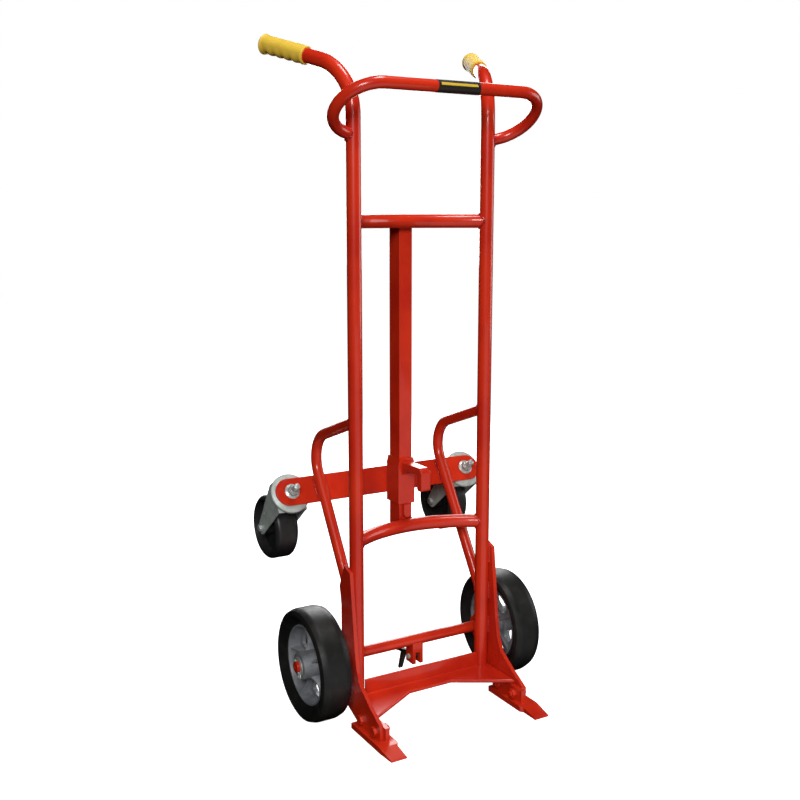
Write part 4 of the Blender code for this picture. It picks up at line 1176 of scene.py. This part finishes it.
    def add_ribs(self, shell: Shell) -> None:
        """Adds the star of ribs on the outboard side and low ribs inboard."""
        share = np.linspace(0.0, 1.0, 33)
        first, last = self.boss_r - 0.004, self.rim_r - self.rim_wall + 0.003
        radius = first + share * (last - first)
        dip = np.abs(share - self.rib_dip) / (1.0 - self.rib_dip)
        rise = np.where(share < self.rib_dip, *self.rib_rise)
        high = self.rib_low + rise * dip ** 1.9
        low = np.full(share.shape, self.web_in - 0.006)
        face = np.full(share.shape, self.web_out)
        foot = 0.0050 + 0.0030 * dip ** 3
        tip = 0.0024 + 0.0008 * dip ** 2
        for number in range(self.windows):
            radial, sideways, out = self.spoke_frame(
                self.first_window + TAU * (number + 0.5) / self.windows)
            corners = ((-foot, low), (-foot, face), (-tip, high - 0.0012), (-0.5 * tip, high),
                       (0.5 * tip, high), (tip, high - 0.0012), (foot, face), (foot, low))
            rings = [self.centre + radius[:, None] * radial + wide[:, None] * sideways
                     + tall[:, None] * out for wide, tall in corners]
            shell.add_grid(np.stack(rings, axis=1))

    def ring(self, name: str, low: float, high: float, inner: float, outer: float,
             finish: Finish, body: str, node: str) -> None:
        """A plain ring with small rounded outer edges.

        Args:
            name: What the ring is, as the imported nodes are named.
            low: Its inboard face, from the wheel's middle plane outwards.
            high: Its outboard face.
            inner: Radius of its bore.
            outer: Its outer radius.
            finish: Its finish.
            body: The body that it moves with.
            node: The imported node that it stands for.
        """
        section = rounded_corners(np.array([(low, inner), (low, outer), (high, outer),
                                            (high, inner)]), [0.0, 0.0006, 0.0006, 0.0], 3, True)
        shell = Shell().turn(section, self.centre, self.out, 72, True)
        self.shop.deliver(shell.build(f"{name}_turned_{self.word}"), finish, body, node)

    def build_small_parts(self) -> None:
        """Bush, spacer, washer and split pin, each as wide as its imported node."""
        for name, finish, body in (("wheel_bush", Finish.BRONZE, self.body),
                                   ("wheel_spacer", Finish.ZINC, "frame"),
                                   ("axle_washer", Finish.BRIGHT, "frame")):
            node = f"{name}_{self.word}"
            low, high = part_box(node)
            near, far = sorted((abs(low.x), abs(high.x)))
            middle = abs(self.centre[0])
            outer = float(high.z - low.z) / 2.0
            self.ring(name, near - middle, far - middle, self.axle_r + BORE_EASE, outer, finish,
                      body, node)
        self.build_split_pin()

    def build_split_pin(self) -> None:
        """The split pin: a thin rod carried through the axle and round an open eye."""
        across, other, _ = self.spoke_frame(self.pin_angle)
        middle = centre_of(f"cotter_{self.word}") * np.array([1.0, 0.0, 0.0])
        middle = middle + self.centre * np.array([0.0, 1.0, 1.0])
        turn = np.linspace(math.radians(155.0), math.radians(-135.0), 30)
        eye = np.stack([self.axle_r + self.eye_gap + self.eye_r * (1.0 + np.cos(turn)),
                        self.eye_r * np.sin(turn)], axis=1)
        leg = np.stack([np.linspace(-self.axle_r - 0.0035, self.axle_r + 0.0025, 12),
                        np.zeros(12)], axis=1)
        flat = np.concatenate([leg, eye])
        path = middle + flat[:, :1] * across + flat[:, 1:] * other
        shell = Shell().carry(path, self.pin_r, X_AXIS, 16)
        tail = np.stack([np.linspace(-self.axle_r - 0.0045, -self.axle_r + 0.002, 10),
                         np.linspace(0.0030, 0.0, 10)], axis=1)
        shell.carry(middle + tail[:, :1] * across + tail[:, 1:] * other, 0.0012, X_AXIS, 12)
        self.shop.deliver(shell.build(f"split_pin_{self.word}", 50.0), Finish.BRIGHT, "frame",
                          f"cotter_{self.word}")

    def build(self) -> None:
        """Makes the wheel and what keeps it on the axle."""
        self.build_tyre()
        self.build_hub()
        self.build_small_parts()


@dataclass
class Axle:
    """The painted axle, with its turned ends."""

    shop: Workshop
    radius: float = 0.0127
    chamfer: float = 0.0018

    def build(self) -> None:
        """A rounded profile turned about X, with a shallow centre dimple in each end."""
        low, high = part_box("axle")
        half = (high.x - low.x) / 2.0
        end = np.array([[half - 0.0022, 0.0], [half - 0.0022, 0.0012], [half, 0.0034]])
        outer = rounded_corners(np.array([[half, 0.0040], [half, self.radius],
                                          [0.0, self.radius]]), [0.0, self.chamfer, 0.0], 5)
        side = np.concatenate([end, outer])
        profile = np.concatenate([side, (side * np.array([-1.0, 1.0]))[::-1]])
        shell = Shell().turn(profile, centre_of("axle"), X_AXIS, 56)
        self.shop.deliver(shell.build("axle_turned", 40.0), Finish.RED, "frame", "axle")


# ---------------------------------------------------------------- casters
@dataclass
class Caster:
    """One swivel caster: race, threaded kingpin and nut, fork, axle bolt and moulded wheel."""

    shop: Workshop
    word: str
    swivel: np.ndarray
    up: np.ndarray
    wheel: np.ndarray
    race_r: float = 0.048
    race_height: float = 0.014
    bar_thick: float = BAR_THICK
    kingpin_r: float = 0.0075
    kingpin_reach: float = 0.036
    pitch: float = 0.0020
    thread_depth: float = 0.34
    head_gap: float = 0.0059
    head_height: float = 0.007
    nut_height: float = 0.016
    nut_half: float = 0.0115
    flange_r: float = 0.0180
    wheel_r: float = 0.0762
    wheel_half: float = 0.030
    tread: float = 0.012
    boss_r: float = 0.017
    bush_r: float = 0.0078
    bolt_r: float = 0.0048
    bolt_half: float = 0.0072

    def build_race(self) -> None:
        """The race: a pressed cup turned about the swivel axis, with a rolled lip."""
        outer = self.race_r
        section = rounded_corners(np.array([
            (-FIT, 0.009), (-FIT, outer - 0.010), (-0.0045, outer - 0.0008),
            (-self.race_height * 0.80, outer), (-self.race_height + 0.0004, outer - 0.003),
            (-self.race_height + 0.0004, 0.009)]), [0.0, 0.006, 0.003, 0.0025, 0.0008, 0.0], 6,
            True)
        top, foot = 0.0002 - self.race_height, -0.0001 - self.race_height
        groove = np.array([(top, 0.028), (top, 0.0425), (foot, 0.0425), (foot, 0.028)])
        shell = Shell().turn(section, self.swivel, self.up, 96, True)
        shell.turn(groove, self.swivel, self.up, 96, True)
        self.shop.deliver(shell.build(f"race_turned_{self.word}"), Finish.ZINC, "frame",
                          f"caster_race_{self.word}")

    def build_kingpin(self) -> None:
        """The kingpin: its head and its stud, whose radius follows a helix.

        The thread's radius is the pin's less the thread's depth, a share of the pitch, times the
        height of a triangle wave of the distance along the pin over the pitch minus the share of
        a turn.
        """
        sides = 40
        tip = self.bar_thick + self.kingpin_reach
        along = np.arange(self.bar_thick, tip - 0.0012, self.pitch / 6.0)
        angle = np.linspace(0.0, TAU, sides, endpoint=False)
        phase = np.mod(along[:, None] / self.pitch - angle[None] / TAU, 1.0)
        depth = self.thread_depth * self.pitch * np.abs(2.0 * phase - 1.0)
        radius = self.kingpin_r - depth
        radius = np.concatenate([radius, np.full((1, sides), self.kingpin_r - 0.0016)])
        profile = np.stack([np.append(along, tip), np.ones(len(along) + 1)], axis=1)
        shell = Shell().turn(profile, self.swivel, self.up, sides, False, radius)
        head = -self.race_height - self.head_gap
        shell.add_hexagon(head - self.head_height, head, self.nut_half, self.swivel, self.up)
        shank = np.array([[head - 0.001, self.kingpin_r], [self.bar_thick + 0.001, self.kingpin_r]])
        shell.turn(shank, self.swivel, self.up, sides)
        self.shop.deliver(shell.build(f"kingpin_stud_{self.word}", 50.0), Finish.BRIGHT, "frame",
                          f"kingpin_{self.word}")

    def build_nut(self) -> None:
        """The flanged lock nut: a turned flange, a hexagon and a rounded collar above it."""
        low = self.bar_thick + FIT
        flange = rounded_corners(np.array([(low, self.kingpin_r), (low, self.flange_r),
                                           (low + 0.0020, self.flange_r), (low + 0.0042, 0.0125),
                                           (low + 0.0042, self.kingpin_r)]),
                                 [0.0, 0.0006, 0.0008, 0.001, 0.0], 4, True)
        shell = Shell().turn(flange, self.swivel, self.up, 72, True)
        top = low + self.nut_height
        shell.add_hexagon(low + 0.0020, top - 0.0030, self.nut_half, self.swivel, self.up,
                          self.kingpin_r)
        collar = rounded_corners(np.array([(top - 0.0035, self.kingpin_r), (top - 0.0035, 0.0105),
                                           (top, 0.0100), (top, self.kingpin_r)]),
                                 [0.0, 0.0, 0.0016, 0.0005], 4, True)
        shell.turn(collar, self.swivel, self.up, 72, True)
        self.shop.deliver(shell.build(f"kingpin_nut_turned_{self.word}", 26.0), Finish.BRIGHT,
                          "frame", f"kingpin_nut_{self.word}")

    def build_axle_bolt(self) -> None:
        """The wheel's bolt and nut, outside the fork's legs."""
        body = f"swivel_{self.word}"
        node = f"caster_bolt_{self.word}"
        low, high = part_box(node)
        centre = self.wheel
        first, last = low.x - centre[0], high.x - centre[0]
        shell = Shell().add_hexagon(first, first + 0.008, self.bolt_half, centre, X_AXIS)
        shank = np.array([[first + 0.004, self.bolt_r], [last - 0.001, self.bolt_r],
                          [last, self.bolt_r - 0.001]])
        shell.turn(shank, centre, X_AXIS, 32)
        self.shop.deliver(shell.build(f"caster_bolt_turned_{self.word}", 24.0), Finish.BRIGHT, body,
                          node)
        node = f"caster_nut_{self.word}"
        low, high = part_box(node)
        nut = Shell().add_hexagon(low.x - centre[0], high.x - centre[0], self.bolt_half, centre,
                                  X_AXIS, self.bolt_r)
        self.shop.deliver(nut.build(f"caster_nut_turned_{self.word}", 24.0), Finish.BRIGHT, body,
                          node)

    def build_wheel(self) -> None:
        """The moulded wheel: a rounded tread, dished sides with a raised ring, and a boss."""
        half, outer = self.wheel_half, self.wheel_r
        side = [(half, self.bush_r + BORE_EASE), (half, self.boss_r - 0.001), (0.0045, self.boss_r),
                (0.0045, outer - self.tread), (half - 0.0012, outer - self.tread + 0.002),
                (half - 0.0008, outer - 0.0085), (half - 0.0085, outer)]
        radii = [0.0, 0.0012, 0.003, 0.003, 0.0012, 0.006, 0.010]
        corners = np.array(side + [(-along, reach) for along, reach in reversed(side)])
        section = rounded_corners(corners, radii + radii[::-1], 6, True)
        shell = Shell().turn(section, self.wheel, X_AXIS, 112, True)
        self.shop.deliver(shell.build(f"caster_wheel_moulded_{self.word}", 50.0), Finish.POLYMER,
                          f"caster_roller_{self.word}", f"caster_wheel_{self.word}")
        low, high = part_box(f"caster_bush_{self.word}")
        first, last, bore = low.x - self.wheel[0], high.x - self.wheel[0], self.bolt_r + FIT
        ring = np.array([(first, bore), (first, self.bush_r), (last, self.bush_r), (last, bore)])
        bush = Shell().turn(ring, self.wheel, X_AXIS, 40, True)
        self.shop.deliver(bush.build(f"caster_bush_turned_{self.word}"), Finish.ZINC,
                          f"swivel_{self.word}", f"caster_bush_{self.word}")

    def build(self) -> None:
        """Makes the caster."""
        self.build_race()
        self.build_kingpin()
        self.build_nut()
        self.shop.soften(f"caster_fork_{self.word}", Finish.ZINC, f"swivel_{self.word}", 0.0009)
        self.build_axle_bolt()
        self.build_wheel()


# ---------------------------------------------------------------- hook and pedal
@dataclass
class HookAndPedal:
    """The sliding chime hook, its stop, and the foot pedal with its bracket and pin."""

    shop: Workshop
    pin_r: float = 0.0040
    head_r: float = 0.0060
    head: float = 0.003

    def build(self) -> None:
        """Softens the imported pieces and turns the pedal's pin."""
        self.shop.soften("hook_slider", Finish.RED, "slider", 0.0016)
        self.shop.soften("chime_hook", Finish.RED, "slider", 0.0050)
        self.shop.soften("hook_stop", Finish.RED, "frame", 0.0018)
        self.shop.soften("pedal_bracket", Finish.RED, "frame", 0.0038)
        self.shop.soften("foot_pedal", Finish.STEEL, "pedal", 0.0014)
        low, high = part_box("pedal_pin")
        centre = centre_of("pedal_pin")
        half = float(high.x - low.x) / 2.0
        neck = self.head - half
        profile = rounded_corners(np.array([(-half, 0.0), (-half, self.head_r), (neck, self.head_r),
                                            (neck, self.pin_r), (half, self.pin_r), (half, 0.0)]),
                                  [0.0, 0.0009, 0.0, 0.0, 0.0006, 0.0], 4)
        pin = Shell().turn(profile, centre, X_AXIS, 40)
        self.shop.deliver(pin.build("pedal_pin_turned", 30.0), Finish.ZINC, "frame", "pedal_pin")


# ---------------------------------------------------------------- studio
@dataclass(frozen=True)
class SoftBox:
    """A square soft light: its place, the point it faces, its width and its power in watts."""

    name: str
    place: Triple
    target: Triple
    size: float
    power: float

    def build(self) -> None:
        """Makes the light, turned to face its target."""
        data = bpy.data.lights.new(self.name, "AREA")
        data.shape = "SQUARE"
        data.size = self.size
        data.energy = self.power
        light = bpy.data.objects.new(self.name, data)
        bpy.context.scene.collection.objects.link(light)
        place = np.array(self.place)
        across, above, along = basis_of(place - np.array(self.target))
        rows = np.stack([across, above, along, place], axis=1)
        light.matrix_world = Matrix([*rows.tolist(), [0.0, 0.0, 0.0, 1.0]])


LIGHTS = (SoftBox("key", (-2.0, -3.0, 2.3), (0.0, 0.0, 0.75), 1.2, 100.0),
          SoftBox("fill", (2.8, -0.9, 1.2), (0.0, 0.0, 0.6), 1.4, 22.0),
          SoftBox("top", (0.3, -0.6, 3.6), (0.0, 0.0, 0.5), 0.8, 45.0),
          SoftBox("back", (1.2, 2.6, 1.8), (0.0, 0.0, 0.7), 2.0, 85.0),
          SoftBox("bounce", (0.0, -1.2, 0.0), (0.0, 0.2, 1.0), 1.8, 8.0))


@dataclass(frozen=True)
class Studio:
    """Pale floor, soft lights and the camera."""

    lens: float = 46.7413
    camera_place: Triple = (-1.18448, -1.94800, 1.10950)
    look: Triple = (0.49358, 0.85248, -0.17220)

    def build_camera(self, shift: float) -> None:
        """Camera at its place, level, and turned along its look.

        Args:
            shift: Y of the rails, from which the camera's place is given.
        """
        data = bpy.data.cameras.new("camera")
        data.lens = self.lens
        data.sensor_width = 36.0
        data.sensor_fit = "HORIZONTAL"
        data.clip_end = 60.0
        camera = bpy.data.objects.new("camera", data)
        bpy.context.scene.collection.objects.link(camera)
        look = unit(np.array(self.look))
        right = unit(np.cross(look, Z_AXIS))
        above = np.cross(right, look)
        place = np.array(self.camera_place) + np.array([0.0, shift, 0.0])
        rows = np.stack([right, above, -look, place], axis=1)
        camera.matrix_world = Matrix([*rows.tolist(), [0.0, 0.0, 0.0, 1.0]])
        bpy.context.scene.camera = camera

    def build_floor(self) -> None:
        """A round pale floor, just under the truck."""
        shell = Shell()
        radius = np.array([0.0, 1.0, 3.0, 8.0, 14.0])
        profile = np.stack([np.full(radius.shape, -0.0004), radius], axis=1)
        low = np.array([[-0.01, radius[-1]], [-0.01, 0.0]])
        shell.turn(np.concatenate([profile, low]), np.zeros(3), Z_AXIS, 96)
        floor = shell.build("floor")
        graph = Graph("pale_floor")
        graph.dress(Base_Color=(0.86, 0.86, 0.86), Roughness=0.9, Specular_IOR_Level=0.1,
                    Emission_Color=(1.0, 1.0, 1.0), Emission_Strength=1.0)
        floor.data.materials.append(graph.material)
        floor.visible_glossy = False
        floor.visible_diffuse = False

    def build(self, shift: float) -> None:
        """Sets the whole studio.

        Args:
            shift: Y of the rails, from which the camera's place is given.
        """
        self.build_camera(shift)
        self.build_floor()
        for light in LIGHTS:
            light.build()
        world = bpy.data.worlds.new("white_room")
        world.use_nodes = True
        background = world.node_tree.nodes["Background"]
        background.inputs["Color"].default_value = (1.0, 1.0, 1.0, 1.0)
        background.inputs["Strength"].default_value = 1.0
        world.cycles_visibility.glossy = False
        world.cycles_visibility.diffuse = False
        scene = bpy.context.scene
        scene.world = world
        scene.view_settings.view_transform = "Standard"


def joint_place(name: str) -> np.ndarray:
    """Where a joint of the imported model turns."""
    return np.array(next(j["pos_m"] for j in frame["joints"] if j["name"] == name))


def main() -> None:
    """Builds the sub-assemblies in order and reports each piece."""
    logging.basicConfig(level=logging.INFO, format="%(message)s")
    shift = rail_axis("left")
    axle = centre_of("axle")
    shop = Workshop(Paintbox(float(axle[1]), float(axle[2])))
    TubeFrame(shop, shift).build()
    ToePlates(shop).build()
    Axle(shop).build()
    shop.soften("caster_bar", Finish.RED, "frame", 0.0011)
    joints = {joint["name"]: joint for joint in frame["joints"]}
    for word, side in SIDES:
        MainWheel(shop, word, side, joint_place(f"main_wheel_{word}")).build()
        swivel = joints[f"caster_swivel_{word}"]
        Caster(shop, word, np.array(swivel["pos_m"]), unit(np.array(swivel["axis"])),
               joint_place(f"caster_spin_{word}")).build()
    HookAndPedal(shop).build()
    Studio().build(shift)
    LOG.info("%d pieces", shop.pieces)


if __name__ == "__main__":
    main()
